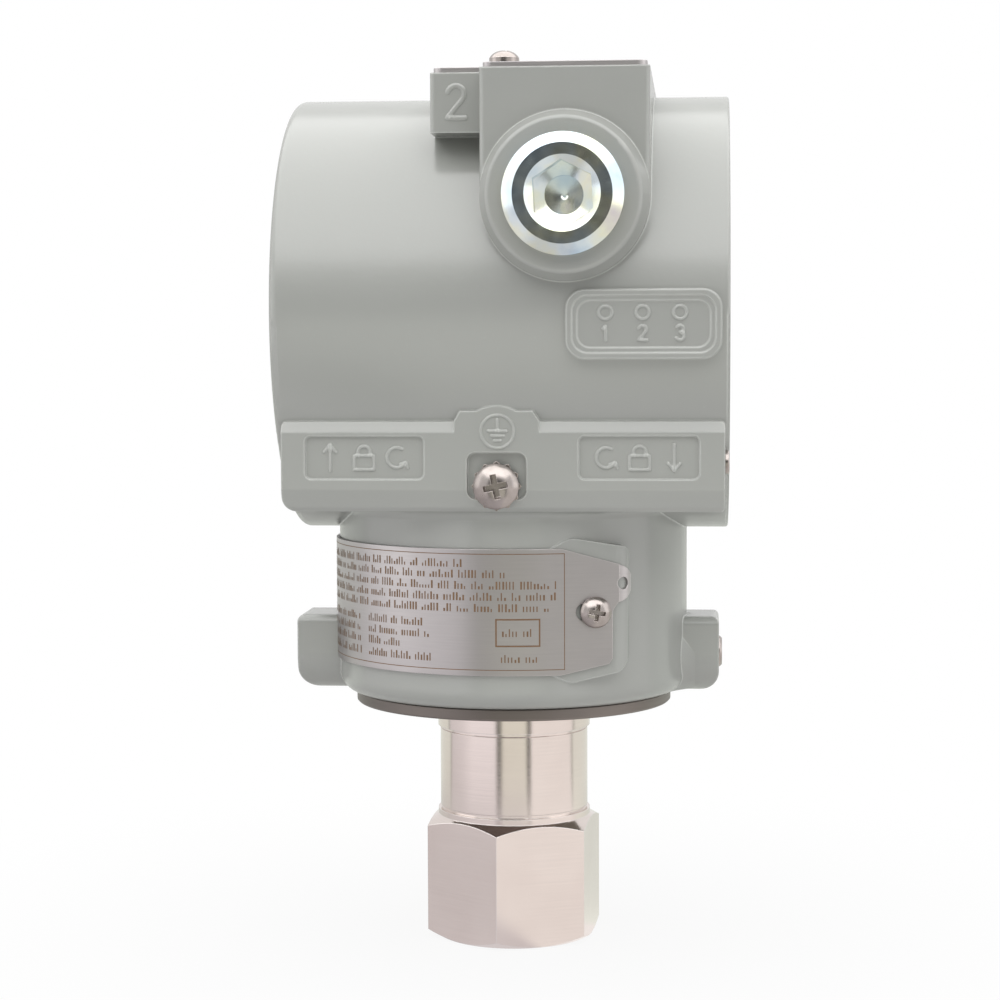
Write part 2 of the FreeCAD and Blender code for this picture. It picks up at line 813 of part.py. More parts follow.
def lug(side, length):
    """Boss of the rotation lock screw; side is +1 at the right and -1 at the left."""
    start = side * lug_start_x
    round_part = rod(lug_r, V(start, 0, lug_z), V(side, 0, 0), length - lug_start_x)
    corners = [0, 0, lug_corner_round, lug_corner_round]
    square_part = side_prism(rectangle(-lug_r, lug_r, lug_z, lug_z + lug_r, corners),
                             start, side * length)
    outline = rectangle(lug_start_x, length, lug_z - lug_r, lug_z + lug_r,
                        [0, lug_low_round, lug_high_round, 0])
    outline = [(side * item[0],) + tuple(item[1:]) for item in outline]
    envelope = front_prism(outline, -lug_r - cut_over, lug_r + cut_over)
    return round_part.fuse(square_part).common(envelope)


def right_lug_flare():
    """Concave flare where the right lug grows out of the neck."""
    rise = lug_flare_r - lug_r
    run = lug_flare_x1 - lug_flare_x0
    profile = [(0, 0), (0, lug_flare_r), (run * 0.35, lug_r + rise * 0.32, "middle"),
               (run, lug_r), (run, 0)]
    flare = turned(profile, V(lug_flare_x0, 0, lug_z), AXIS_X)
    return flare.common(box(lug_flare_x0, lug_flare_x1, -lug_flare_r, lug_flare_r,
                            neck_z, lug_z + lug_flare_r))


# Frame of the name plate's right flat end: s runs to the right, z up, depth goes inwards
turn_angle = math.radians(plate_turn)
plate_normal = V(math.sin(turn_angle), -math.cos(turn_angle), 0)
plate_along = V(math.cos(turn_angle), math.sin(turn_angle), 0)


def on_flat(radius):
    """Place (s, z) on the flat plane that touches the given radius."""
    return lambda s, z: plate_normal * radius + plate_along * s + V(0, 0, z)


def across_flat(radius, level):
    """Place (s, depth) in a level plane, with depth counted from the given radius."""
    return lambda s, depth: plate_normal * (radius - depth) + plate_along * s + V(0, 0, level)


def other_end(shape):
    """Mirror a shape to the other end of the name plate."""
    middle = math.radians(plate_middle)
    return shape.mirror(ORIGIN, V(math.cos(middle), math.sin(middle), 0))


def plate_pad():
    pad_r = neck_r + pad_gap
    high = plate_z1 + pad_over
    low = plate_z0 - pad_under
    outline = soften([(0, low + 2.4), (4.5, low), (pad_end - 2, low + 1.9), (pad_end, low + 4.5),
                      (pad_end, high - 2.9), (pad_end - 1.2, high - 1.7), (4.5, high),
                      (0, high - 2.6)],
                     [0, 4, 1.5, 1.5, 1, 1, 4, 0])
    front = prism(outline, on_flat(pad_r), plate_normal * -pad_depth)
    section = soften([(0, 0), (pad_end, 0), (pad_end, pad_depth), (0, pad_depth)],
                     [0, pad_round, 0, 0])
    return front.common(prism(section, across_flat(pad_r, low - 1), V(0, 0, high - low + 2)))


def plate_screw_place(radius):
    return on_flat(radius)(plate_screw_s, plate_screw_z)


def button_places():
    return {"zero": V(button_x, -button_y, 0), "span": V(button_x, button_y, 0)}


def button_bore(place):
    """Stepped guide of one push-button, from the bar's top into the electronics side."""
    head = rod(button_head_r + run_gap, V(place.x, place.y, spring_seat_z), AXIS_Z,
               block_top - spring_seat_z + cut_over)
    stem = rod(button_stem_r + run_gap, V(place.x, place.y, barrel_z), AXIS_Z,
               spring_seat_z - barrel_z + cut_over)
    relief = rod(clip_r + free_gap, V(place.x, place.y, barrel_z), AXIS_Z,
                 clip_z + clip_t + free_gap - barrel_z)
    return [head, stem, relief]


def conduit_bores():
    """Both conduit entries: a bore for the thread with a narrower wire passage behind it."""
    bores = [rod(wire_passage_r, V(conduit_x, -block_face, conduit_z), AXIS_Y, 2 * block_face)]
    for sign in (-1, 1):
        bores.append(rod(conduit_r, V(conduit_x, sign * (boss_face + cut_over), conduit_z),
                         V(0, -sign, 0), conduit_depth + cut_over))
    return bores


def end_bore(end_x, outward, inner_x):
    """Stepped bore of one compartment, from the barrel's end to the partition."""
    depth = abs(end_x - inner_x)
    return turned([(-cut_over, 0), (-cut_over, head_bore_r), (head_bore_depth, head_bore_r),
                   (head_bore_depth, thread_bore_r), (thread_bore_depth, thread_bore_r),
                   (thread_bore_depth, cavity_r), (depth, cavity_r), (depth, 0)],
                  V(end_x, 0, barrel_z), V(-outward, 0, 0))


def lock_screw_seats():
    """Foot of each cover lock screw's head, at the skirt's two ends."""
    left = V(skirt_x0 + lock_screw_sunk, -lock_screw_y, lock_screw_z)
    right = V(skirt_x1, -lock_screw_y, lock_screw_z)
    return [(left, V(-1, 0, 0)), (right, V(1, 0, 0))]


def housing():
    body = barrel_body()
    skirt = front_skirt()
    boss = conduit_boss()
    pad = plate_pad()
    body = joined(body, [neck_body(), skirt, mirrored_y(skirt), earth_pad(), legend_panel(),
                         saddle_block(), boss, mirrored_y(boss), button_bar(),
                         lug(-1, lug_left_x), lug(1, lug_right_x), right_lug_flare(),
                         pad, other_end(pad)])
    cutters = [end_bore(barrel_x0, -1, partition_x0), end_bore(barrel_x1, 1, partition_x1)]
    cutters.append(rod(neck_bore_r, V(0, 0, neck_z - cut_over), AXIS_Z, neck_cavity_h + cut_over))
    cutters.append(rod(cable_bore_r, V(cable_bore_x, 0, neck_cavity_top - cut_over), AXIS_Z,
                       barrel_z - neck_cavity_top - cavity_r / 2))
    cutters += [ground_pocket()] + front_legends() + conduit_bores()
    for sign in (-1, 1):
        cutters.append(rod(set_screw_r + fit_gap, V(sign * (neck_bore_r - cut_over), 0, lug_z),
                           V(sign, 0, 0), lug_left_x))
        cutters.append(rod(m3_r + fit_gap, V(pivot_x, sign * pivot_y, block_top + cut_over),
                           V(0, 0, -1), pivot_length + hole_end))
    cutters.append(rod(m4_r + fit_gap, V(earth_x, -skirt_face, ground_screw_z), AXIS_Y,
                       ground_screw_length + cut_over))
    for place in button_places().values():
        cutters += button_bore(place)
    screw_hole = rod(m3_r + fit_gap, plate_screw_place(neck_r + cut_over), plate_normal * -1,
                     plate_screw_length + hole_end)
    cutters += [screw_hole, other_end(screw_hole)]
    for seat, outward in lock_screw_seats():
        cutters.append(rod(lock_screw_r + fit_gap, seat + outward, outward * -1,
                           lock_screw_length + hole_end))
    seat, outward = lock_screw_seats()[0]
    cutters.append(rod(lock_screw_head_r + free_gap, seat, outward, lock_screw_sunk + cut_over))
    cutters.append(rod(seal_r + fit_gap, V(partition_x0 - cut_over, 0, terminal_z), AXIS_X,
                       partition_t + 2 * cut_over))
    body = joined(body.cut(cutters), [inner_ground_boss()])
    return body.cut(rod(m4_r + fit_gap, V(inner_boss_x + cut_over, 0, inner_ground_z), V(-1, 0, 0),
                        inner_ground_length + 2 * cut_over))


def inner_ground_boss():
    """Boss on the partition, grown into the compartment's wall, for the inner ground screw."""
    boss = rod(inner_boss_r, V(partition_x0, 0, inner_ground_z), AXIS_X, inner_boss_x - partition_x0)
    return boss.common(rod(head_bore_r, V(partition_x0, 0, barrel_z), AXIS_X, barrel_length / 2))


# Pieces fixed to the housing
def conduit_plug():
    """Plug with a broached hexagon socket, which ends on the cone of the hole drilled for it."""
    flat_r = plug_socket_across / 2
    sink = plug_head_h - (plug_sink_r - flat_r) * math.tan(math.radians(plug_sink_slope))
    neck = plug_shank_r - plug_neck_depth
    profile = [(-plug_shank, 0), (-plug_shank, plug_shank_r - plug_tip),
               (-plug_shank + plug_tip, plug_shank_r), (-plug_neck_w, plug_shank_r),
               (-plug_neck_w, neck), (0, neck), (0, plug_head_r),
               (plug_head_h - plug_bevel_h, plug_head_r), (plug_head_h, plug_face_r),
               (plug_head_h, plug_sink_r), (sink, flat_r), (sink, 0)]
    seat = V(conduit_x, -boss_face, conduit_z)
    outward = V(0, -1, 0)
    body = turned(profile, seat, outward)
    corner_r = plug_socket_across / math.sqrt(3)
    floor = plug_head_h - plug_socket_depth
    drill_floor = floor - (corner_r - plug_drill_r) * math.tan(math.radians(plug_floor_slope))
    drill_end = drill_floor - plug_drill_depth
    tip = drill_end - plug_drill_r * math.tan(math.radians(plug_drill_slope))
    mouth = plug_head_h + cut_over
    core = turned([(tip, 0), (drill_end, plug_drill_r), (drill_floor, plug_drill_r),
                   (floor, corner_r), (mouth, corner_r), (mouth, 0)], seat, outward)
    socket = hexagon(plug_socket_across, seat + outward * (tip - cut_over), outward,
                     mouth - tip + 2 * cut_over, plug_socket_turn)
    return body.cut(core.common(socket))


def ground_screw():
    seat = V(earth_x, -ground_seat_y - washer_t, ground_screw_z)
    return pan_screw(m4_r, ground_screw_length, m4_head_r, m4_head_h, seat, V(0, -1, 0), 12)


def ground_washer():
    """Toothed lock washer: a ring with a saw of small outer teeth."""
    corners = []
    for index in range(2 * washer_teeth):
        angle = math.pi * index / washer_teeth
        radius = washer_r if index % 2 == 0 else washer_r - washer_tooth
        corners.append((earth_x + radius * math.cos(angle),
                        ground_screw_z + radius * math.sin(angle)))
    disc = front_prism(corners, -ground_seat_y - washer_t, -ground_seat_y)
    return disc.cut(rod(m4_r + fit_gap, V(earth_x, -ground_seat_y + cut_over, ground_screw_z),
                        V(0, -1, 0), washer_t + 2 * cut_over))


def bend_arc(radius):
    """Arc of the ear's bend in (s, depth), from the flat towards the neck."""
    points = []
    for part, note in ((0.0, ()), (0.5, ("middle",)), (1.0, ())):
        angle = math.radians(ear_turn * part)
        points.append((ear_s + radius * math.sin(angle), ear_bend - radius * math.cos(angle)) + note)
    return points


def plate_ear(inner_r):
    """Round ear that bends back round the pad's edge, and the hole through it."""
    outer_r = inner_r + plate_t
    outline = bend_arc(ear_bend + plate_t) + bend_arc(ear_bend)[::-1]
    strip = prism(outline, across_flat(inner_r, ear_z - 2 * ear_r), V(0, 0, 4 * ear_r))
    ear = strip.common(rod(ear_r, on_flat(outer_r + 2)(ear_s, ear_z), plate_normal * -1, 4 * ear_r))
    axis = plate_normal * -1 + plate_along * -0.6
    axis.normalize()
    hole = rod(ear_hole_r, on_flat(outer_r)(ear_hole_s, ear_z) - axis * 4, axis, 8)
    return ear, hole


def plate_slot(inner_r):
    """Slot that lets the plate slide under its screw."""
    reach = plate_t + 2 * cut_over
    low_r = inner_r - cut_over
    slot = prism(rectangle(plate_slot_s, plate_screw_s, plate_screw_z - plate_slot_half,
                           plate_screw_z + plate_slot_half), on_flat(low_r), plate_normal * reach)
    ends = [rod(plate_slot_half, on_flat(low_r)(s, plate_screw_z), plate_normal, reach)
            for s in (plate_slot_s, plate_screw_s)]
    return slot.fuse(ends)


def name_plate():
    inner_r = neck_r + plate_gap
    outer_r = inner_r + plate_t
    face = Part.Face(closed_wire(rectangle(inner_r, outer_r, plate_z0, plate_z1),
                                 lambda r, z: V(r, 0, z)))
    wrap = face.revolve(ORIGIN, AXIS_Z, plate_turn - plate_middle)
    wrap.rotate(ORIGIN, AXIS_Z, plate_middle - 90)
    edge = ear_s - 0.6
    tab = ear_s + 0.6
    outline = soften([(0, plate_z0), (2.9, plate_z0), (edge - 0.6, plate_z0 + 1.9),
                      (edge, plate_z0 + 2.8), (edge, ear_z - ear_r - 1.5),
                      (tab, ear_z - ear_r + 0.2), (tab, plate_z1 - 2.9), (2.9, plate_z1),
                      (0, plate_z1)],
                     [0, 2, 0.8, 0.8, 1.5, 0, 0, 2, 0])
    flat = prism(outline, on_flat(inner_r), plate_normal * plate_t)
    ear, hole = plate_ear(inner_r)
    half = joined(wrap, [flat, ear]).cut([hole, plate_slot(inner_r)])
    whole = joined(half, [other_end(half)])
    reach = lug_r + lug_relief
    relief = rod(reach, V(0, 0, lug_z), V(-1, 0, 0), lug_left_x)
    relief_sides = box(-lug_left_x, 0, -reach, reach, plate_z0 - cut_over, lug_z + reach)
    return whole.cut([relief, relief_sides])


def plate_screws():
    seat = plate_screw_place(neck_r + plate_gap + plate_t)
    screw = pan_screw(m3_r, plate_screw_length, m3_head_r, m3_head_h, seat, plate_normal, 5)
    return group([screw, other_end(screw)])


def housing_set_screws():
    """Dog point screws that clamp the housing on the sensor body's groove."""
    screws = []
    tip_r = spigot_r - lock_groove_depth + free_gap
    edge = 0.4
    cone_h = set_screw_dog_h + 0.6
    for side, end in ((-1, lug_left_x - set_screw_sunk), (1, lug_right_x + set_screw_proud)):
        length = end - tip_r
        profile = [(0, 0), (0, set_screw_dog_r), (set_screw_dog_h, set_screw_dog_r),
                   (cone_h, set_screw_r), (length - edge, set_screw_r),
                   (length, set_screw_r - edge), (length, 0)]
        outward = V(side, 0, 0)
        screw = turned(profile, V(side * tip_r, 0, lug_z), outward)
        socket = hexagon(set_socket_across, V(side * (end - set_socket_depth), 0, lug_z), outward,
                         set_socket_depth + cut_over)
        screws.append(screw.cut(socket))
    return group(screws)


def cover_lock_screws():
    screws = []
    head_h = lock_screw_head_h
    edge = 0.2
    for seat, outward in lock_screw_seats():
        profile = [(-lock_screw_length, 0), (-lock_screw_length, lock_screw_r), (0, lock_screw_r),
                   (0, lock_screw_head_r), (head_h - edge, lock_screw_head_r),
                   (head_h, lock_screw_head_r - edge), (head_h, 0)]
        socket = hexagon(lock_socket_across, seat + outward * (head_h - lock_socket_depth),
                         outward, lock_socket_depth + cut_over)
        screws.append(turned(profile, seat, outward).cut(socket))
    return group(screws)


def swing_plate_screws():
    screws = []
    for sign in (-1, 1):
        seat = V(pivot_x, sign * pivot_y, cover_plate_z)
        screws.append(pan_screw(m3_r, pivot_length, m3_head_r - 0.2, m3_head_h, seat, AXIS_Z, 30))
    return group(screws)


# Terminal compartment
def terminal_block():
    """Moulded block with one open bay for each wire clamp."""
    outline = rectangle(-terminal_w / 2, terminal_w / 2, terminal_foot,
                        terminal_foot + terminal_h, terminal_round)
    block = side_prism(outline, partition_x1, terminal_face)
    cutters = []
    corners = [0, 0, terminal_bay_round, terminal_bay_round]
    for y in terminal_places():
        bay = rectangle(y - terminal_bay_w / 2, y + terminal_bay_w / 2, terminal_foot - cut_over,
                        terminal_foot + terminal_bay_h, corners)
        cutters.append(side_prism(bay, clamp_x, terminal_face + cut_over))
        cutters.append(rod(terminal_screw_r + fit_gap, V(terminal_face, y, terminal_screw_z),
                           V(-1, 0, 0), terminal_bay_depth - clamp_t + terminal_screw_length
                           + fit_gap))
    cutters.append(rod(seal_r, V(partition_x1 - cut_over, 0, terminal_z), AXIS_X,
                       cut_over + seal_recess))
    return block.cut(cutters)


def terminal_places():
    return [(index - (terminal_count - 1) / 2) * terminal_pitch for index in range(terminal_count)]


def terminal_clamps():
    clamps = []
    half = clamp_size / 2
    z = terminal_screw_z
    for y in terminal_places():
        plate = side_prism(rectangle(y - half, y + half, z - half, z + half, clamp_size / 10),
                           clamp_x, clamp_x + clamp_t)
        clamps.append(plate.cut(rod(terminal_screw_r + fit_gap, V(clamp_x - cut_over, y, z),
                                    AXIS_X, clamp_t + 2 * cut_over)))
    return group(clamps)


def terminal_screws():
    screws = []
    for y in terminal_places():
        seat = V(clamp_x + clamp_t, y, terminal_screw_z)
        screws.append(pan_screw(terminal_screw_r, terminal_screw_length, terminal_head_r,
                                terminal_head_h, seat, AXIS_X, 25))
    return group(screws)


def inner_ground_screw():
    seat = V(inner_boss_x, 0, inner_ground_z)
    return pan_screw(m4_r, inner_ground_length, m4_head_r, m4_head_h, seat, AXIS_X, 35)


def partition_seal():
    """Glass bushing that seals the two compartments from each other."""
    bores = [rod(seal_pin_r + seal_pin_gap, V(partition_x0 - cut_over, y, terminal_z), AXIS_X,
                 partition_t + 2 * cut_over) for y in (-seal_pin_y, seal_pin_y)]
    return rod(seal_r, V(partition_x0, 0, terminal_z), AXIS_X, partition_t).cut(bores)


def seal_pins():
    return group([rod(seal_pin_r, V(partition_x0, y, terminal_z), AXIS_X,
                      partition_t + seal_pin_proud) for y in (-seal_pin_y, seal_pin_y)])


# Electronics compartment
def electronics_module():
    """Potted module against the partition, cut level at the top for the two switches."""
    can = rod(module_r, V(module_x, 0, barrel_z), AXIS_X, module_t)
    high = barrel_z + module_r + cut_over
    far = module_r + cut_over
    cutters = [box(module_x - cut_over, partition_x0 + cut_over, y0, y1, module_flat_z, high)
               for y0, y1 in ((-far, -module_flat_y), (module_flat_y, far))]
    cutters += [rod(m3_r + fit_gap, place, AXIS_X, board_screw_grip + hole_end + cut_over)
                for place in board_screw_places(module_x - cut_over)]
    return can.cut(cutters)


def board_screw_places(x):
    places = []
    for index in range(board_screw_count):
        angle = math.radians(-90 + 360 / board_screw_count * index)
        places.append(V(x, board_screw_circle * math.cos(angle),
                        barrel_z + board_screw_circle * math.sin(angle)))
    return places


def board_part(y0, y1, z0, z1, face_x, height):
    """Block standing on the board; z is counted from the barrel's axis."""
    outline = rectangle(y0, y1, barrel_z + z0, barrel_z + z1, board_part_round)
    return side_prism(outline, face_x - height, face_x)


def amplifier_board():
    face_x = board_back_x - board_t
    board = rod(board_r, V(face_x, 0, barrel_z), AXIS_X, board_t)
    parts = [board_part(-chip_half, chip_half, -chip_half, chip_half, face_x, chip_t),
             board_part(header_y0, header_y1, header_z0, header_z1, face_x, header_t),
             board_part(coil_y0, coil_y1, coil_z0, coil_z1, face_x, coil_t)]
    holes = [rod(m3_r + fit_gap, place, AXIS_X, board_t + 2 * cut_over)
             for place in board_screw_places(face_x - cut_over)]
    return joined(board, parts).cut(holes)


def board_spacers():
    spacers = []
    for place in board_screw_places(board_back_x):
        bore = rod(m3_r + fit_gap, place - V(cut_over, 0, 0), AXIS_X, board_spacer + 2 * cut_over)
        spacers.append(rod(spacer_r, place, AXIS_X, board_spacer).cut(bore))
    return group(spacers)


def board_screws():
    length = board_t + board_spacer + board_screw_grip
    return group([pan_screw(m3_r, length, m3_head_r, m3_head_h, place, V(-1, 0, 0), 15)
                  for place in board_screw_places(board_back_x - board_t)])


def adjust_switches():
    """Sealed key switches that the two push-buttons press."""
    switches = []
    half = switch_size / 2
    for place in button_places().values():
        plan = rectangle(place.x - half, place.x + half, place.y - half, place.y + half, 0.5)
        body = top_prism(plan, module_flat_z, module_flat_z + switch_body_h)
        key = rod(switch_key_r, V(place.x, place.y, module_flat_z), AXIS_Z,
                  switch_body_h + switch_key_h)
        switches.append(joined(body, [key]))
    return group(switches)


# Moving pieces
def swing_plate():
    """Flat plate over the push-buttons, hung on the front screw, slotted at the rear one."""
    inset = cover_plate_inset
    x0 = bar_x0 + inset
    x1 = block_x0 + inset
    x2 = block_x1 - inset
    y1 = bar_face - inset
    y2 = block_face - inset
    corners = [(x0, -y1), (x1, -y1), (x1, -y2), (x2, -y2), (x2, y2), (x1, y2), (x1, y1), (x0, y1)]
    radius = cover_plate_round
    outline = soften(corners, [radius, 0, radius, radius, radius, radius, 0, radius])
    plate = top_prism(outline, block_top, cover_plate_z)
    low = block_top - cut_over
    height = cover_plate_t + 2 * cut_over
    slot_half = m3_r + rear_slot_gap
    hole = rod(m3_r + fit_gap, V(pivot_x, -pivot_y, low), AXIS_Z, height)
    slot_end = rod(slot_half, V(pivot_x, pivot_y, low), AXIS_Z, height)
    slot_mouth = box(x1 - cut_over, pivot_x, pivot_y - slot_half, pivot_y + slot_half, low,
                     low + height)
    return plate.cut([hole, slot_end, slot_mouth])


def push_button(place):
    top = button_top
    head_z = top - button_head_h
    edge = button_edge
    profile = [(button_stem_bottom, 0), (button_stem_bottom, button_stem_r),
               (head_z, button_stem_r), (head_z, button_head_r), (top - edge, button_head_r),
               (top, button_head_r - edge), (top, 0)]
    button = turned(profile, V(place.x, place.y, 0))
    slot = box(place.x - button_head_r, place.x + button_head_r, place.y - button_slot_half,
               place.y + button_slot_half, top - button_slot_depth, top + cut_over)
    low = clip_z - clip_slack
    high = clip_z + clip_t + clip_slack
    groove_r = button_stem_r - clip_groove_depth
    groove = turned([(low, groove_r), (low, clip_r), (high, clip_r), (high, groove_r)],
                    V(place.x, place.y, 0))
    return button.cut([slot, groove])


def button_clip(place):
    """Retaining clip in the stem's groove, open at one side."""
    top = clip_z + clip_t
    groove_r = button_stem_r - clip_groove_depth
    ring = turned([(clip_z, groove_r), (clip_z, clip_r), (top, clip_r), (top, groove_r)],
                  V(place.x, place.y, 0))
    mouth = box(place.x, place.x + clip_r + cut_over, place.y - clip_mouth_half,
                place.y + clip_mouth_half, clip_z - cut_over, top + cut_over)
    return ring.cut(mouth)


def button_spring(place):
    """Helical spring of flat wire between the bore's step and the button's head."""
    low = spring_seat_z + spring_wire_t / 2
    height = button_top - button_head_h - spring_wire_t / 2 - low
    coil_r = (button_stem_r + button_head_r) / 2
    helix = Part.makeHelix(height / spring_turns, height, coil_r)
    section = rectangle(coil_r - spring_wire_w / 2, coil_r + spring_wire_w / 2,
                        -spring_wire_t / 2, spring_wire_t / 2)
    wire = closed_wire(section, lambda x, z: V(x, 0, z))
    coil = Part.Wire(helix.Edges).makePipeShell([wire], True, True)
    coil.translate(V(place.x, place.y, low))
    return coil


def screwed_cover(end_x, outward):
    """Cup with a threaded skirt, a dished face and a grip bar across the dish."""
    face = cover_sunk
    under = face + cover_head_t
    end = under + cover_skirt
    skirt_r = cover_skirt_r
    inner_r = skirt_r - cover_skirt_wall
    dish_floor = face + cover_dish_depth
    web = dish_floor + cover_web
    groove_r = skirt_r - cover_groove_depth
    groove_a = under + cover_groove_a
    profile = [(dish_floor, 0), (dish_floor, cover_dish_r - cover_dish_draft),
               (face, cover_dish_r), (face, cover_head_r - cover_edge),
               (face + cover_edge, cover_head_r), (under, cover_head_r), (under, skirt_r),
               (groove_a, skirt_r), (groove_a, groove_r), (groove_a + cover_groove_w, groove_r),
               (groove_a + cover_groove_w, skirt_r), (end - 1, skirt_r), (end, skirt_r - 1),
               (end, inner_r), (web, inner_r), (web, 0)]
    cup = turned(profile, V(end_x, 0, barrel_z), V(-outward, 0, 0))
    half = cover_bar_w / 2
    low = dish_floor + 0.5
    high = face + cover_bar_sunk
    section = [(-half, low), (-half + cover_bar_draft, high), (half - cover_bar_draft, high),
               (half, low)]
    reach = cover_dish_r - fit_gap
    bar = prism(soften(section, [0, 0.8, 0.8, 0]),
                lambda y, a: V(end_x - outward * a, y, barrel_z - reach), V(0, 0, 2 * reach))
    return joined(cup, [bar])


def cover_ring(end_x, outward):
    groove_r = cover_skirt_r - cover_groove_depth
    section = cover_groove_w / 2 - free_gap
    a = cover_sunk + cover_head_t + cover_groove_a + cover_groove_w / 2
    return torus(groove_r + free_gap + section, section, V(end_x - outward * a, 0, barrel_z), AXIS_X)


def all_pieces():
    pieces = {
        "process_adapter": process_adapter(),
        "isolating_diaphragm": isolating_diaphragm(),
        "sensor_body": sensor_body(),
        "sensor_capsule": sensor_capsule(),
        "capsule_pins": capsule_pins(),
        "sensor_board": sensor_board(),
        "neck_seal_ring": neck_seal_ring(),
        "housing": housing(),
        "conduit_plug": conduit_plug(),
        "ground_screw": ground_screw(),
        "ground_washer": ground_washer(),
        "name_plate": name_plate(),
        "name_plate_screws": plate_screws(),
        "housing_set_screws": housing_set_screws(),
        "cover_lock_screws": cover_lock_screws(),
        "swing_plate_screws": swing_plate_screws(),
        "terminal_block": terminal_block(),
        "terminal_clamps": terminal_clamps(),
        "terminal_screws": terminal_screws(),
        "inner_ground_screw": inner_ground_screw(),
        "partition_seal": partition_seal(),
        "partition_pins": seal_pins(),
        "electronics_module": electronics_module(),
        "board_spacers": board_spacers(),
        "amplifier_board": amplifier_board(),
        "board_screws": board_screws(),
        "adjust_switches": adjust_switches(),
        "swing_plate": swing_plate(),
        "terminal_cover": screwed_cover(barrel_x1, 1),
        "terminal_cover_ring": cover_ring(barrel_x1, 1),
        "electronics_cover": screwed_cover(barrel_x0, -1),
        "electronics_cover_ring": cover_ring(barrel_x0, -1),
    }
    for name, place in button_places().items():
        pieces[name + "_button"] = push_button(place)
        pieces[name + "_button_clip"] = button_clip(place)
        pieces[name + "_button_spring"] = button_spring(place)
    return pieces


for node, shape in all_pieces().items():
    bad = "" if shape.isValid() else " INVALID"
    print(node, len(shape.Solids), round(shape.Volume, 2), bad)
    shape.exportStep("parts/" + node + ".step")
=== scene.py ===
# %% [markdown]
# # Dressing a pressure transmitter
# The frame brings every solid piece of the transmitter, already in place and in metres.
# This lesson adds what a CAD model lacks: finishes, raised signs, print, light and a camera.

# %% Load the frame
import json
import math
import random
import bpy
from mathutils import Matrix, Vector


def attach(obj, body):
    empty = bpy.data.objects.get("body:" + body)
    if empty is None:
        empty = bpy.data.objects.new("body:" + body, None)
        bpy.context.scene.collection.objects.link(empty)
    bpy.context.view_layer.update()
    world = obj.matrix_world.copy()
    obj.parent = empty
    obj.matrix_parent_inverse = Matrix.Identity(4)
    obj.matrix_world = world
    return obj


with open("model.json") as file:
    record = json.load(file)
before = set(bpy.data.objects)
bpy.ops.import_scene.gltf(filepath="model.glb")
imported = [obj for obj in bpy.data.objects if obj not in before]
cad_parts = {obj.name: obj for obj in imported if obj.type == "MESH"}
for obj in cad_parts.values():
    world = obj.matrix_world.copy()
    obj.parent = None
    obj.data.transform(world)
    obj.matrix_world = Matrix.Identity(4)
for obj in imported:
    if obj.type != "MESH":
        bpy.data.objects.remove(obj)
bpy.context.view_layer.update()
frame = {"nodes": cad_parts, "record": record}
MM = 0.001
print("nodes", len(frame["nodes"]))

# %% [markdown]
# ## Shader maths as Python
# A finish is a small sum of noises and masks. Wiring each Math node by hand hides the idea,
# so a socket is wrapped in a class whose operators add the nodes. Any other node comes from
# one method that takes its type, its settings and its inputs.

# %% A socket with operators
class Value:
    def __init__(self, tree, socket):
        self.tree = tree
        self.socket = socket

    def __add__(self, other):
        return self.tree.math("ADD", self, other)

    def __radd__(self, other):
        return self.tree.math("ADD", other, self)

    def __sub__(self, other):
        return self.tree.math("SUBTRACT", self, other)

    def __rsub__(self, other):
        return self.tree.math("SUBTRACT", other, self)

    def __mul__(self, other):
        return self.tree.math("MULTIPLY", self, other)

    def __truediv__(self, other):
        return self.tree.math("DIVIDE", self, other)

    def __abs__(self):
        return self.tree.math("ABSOLUTE", self)

    def beside(self, output):
        """Another output of the node that this value comes from."""
        return Value(self.tree, self.socket.node.outputs[output])

    def above(self, edge, soft):
        """0 below the edge and 1 above it, with a soft step between."""
        return self.tree.node("MapRange", {"interpolation_type": "SMOOTHSTEP"},
                              {"Value": self, "From Min": edge - soft, "From Max": edge + soft})


print("a socket can do", [name.strip("_") for name, item in vars(Value).items() if callable(item)])

# %% A tree that makes nodes
# These set where the painted edge highlights start.
EDGE_HIGHLIGHT_BEND, EDGE_HIGHLIGHT_SOFT = 0.022, 0.02  # how far a rounded normal leaves the flat one at an edge


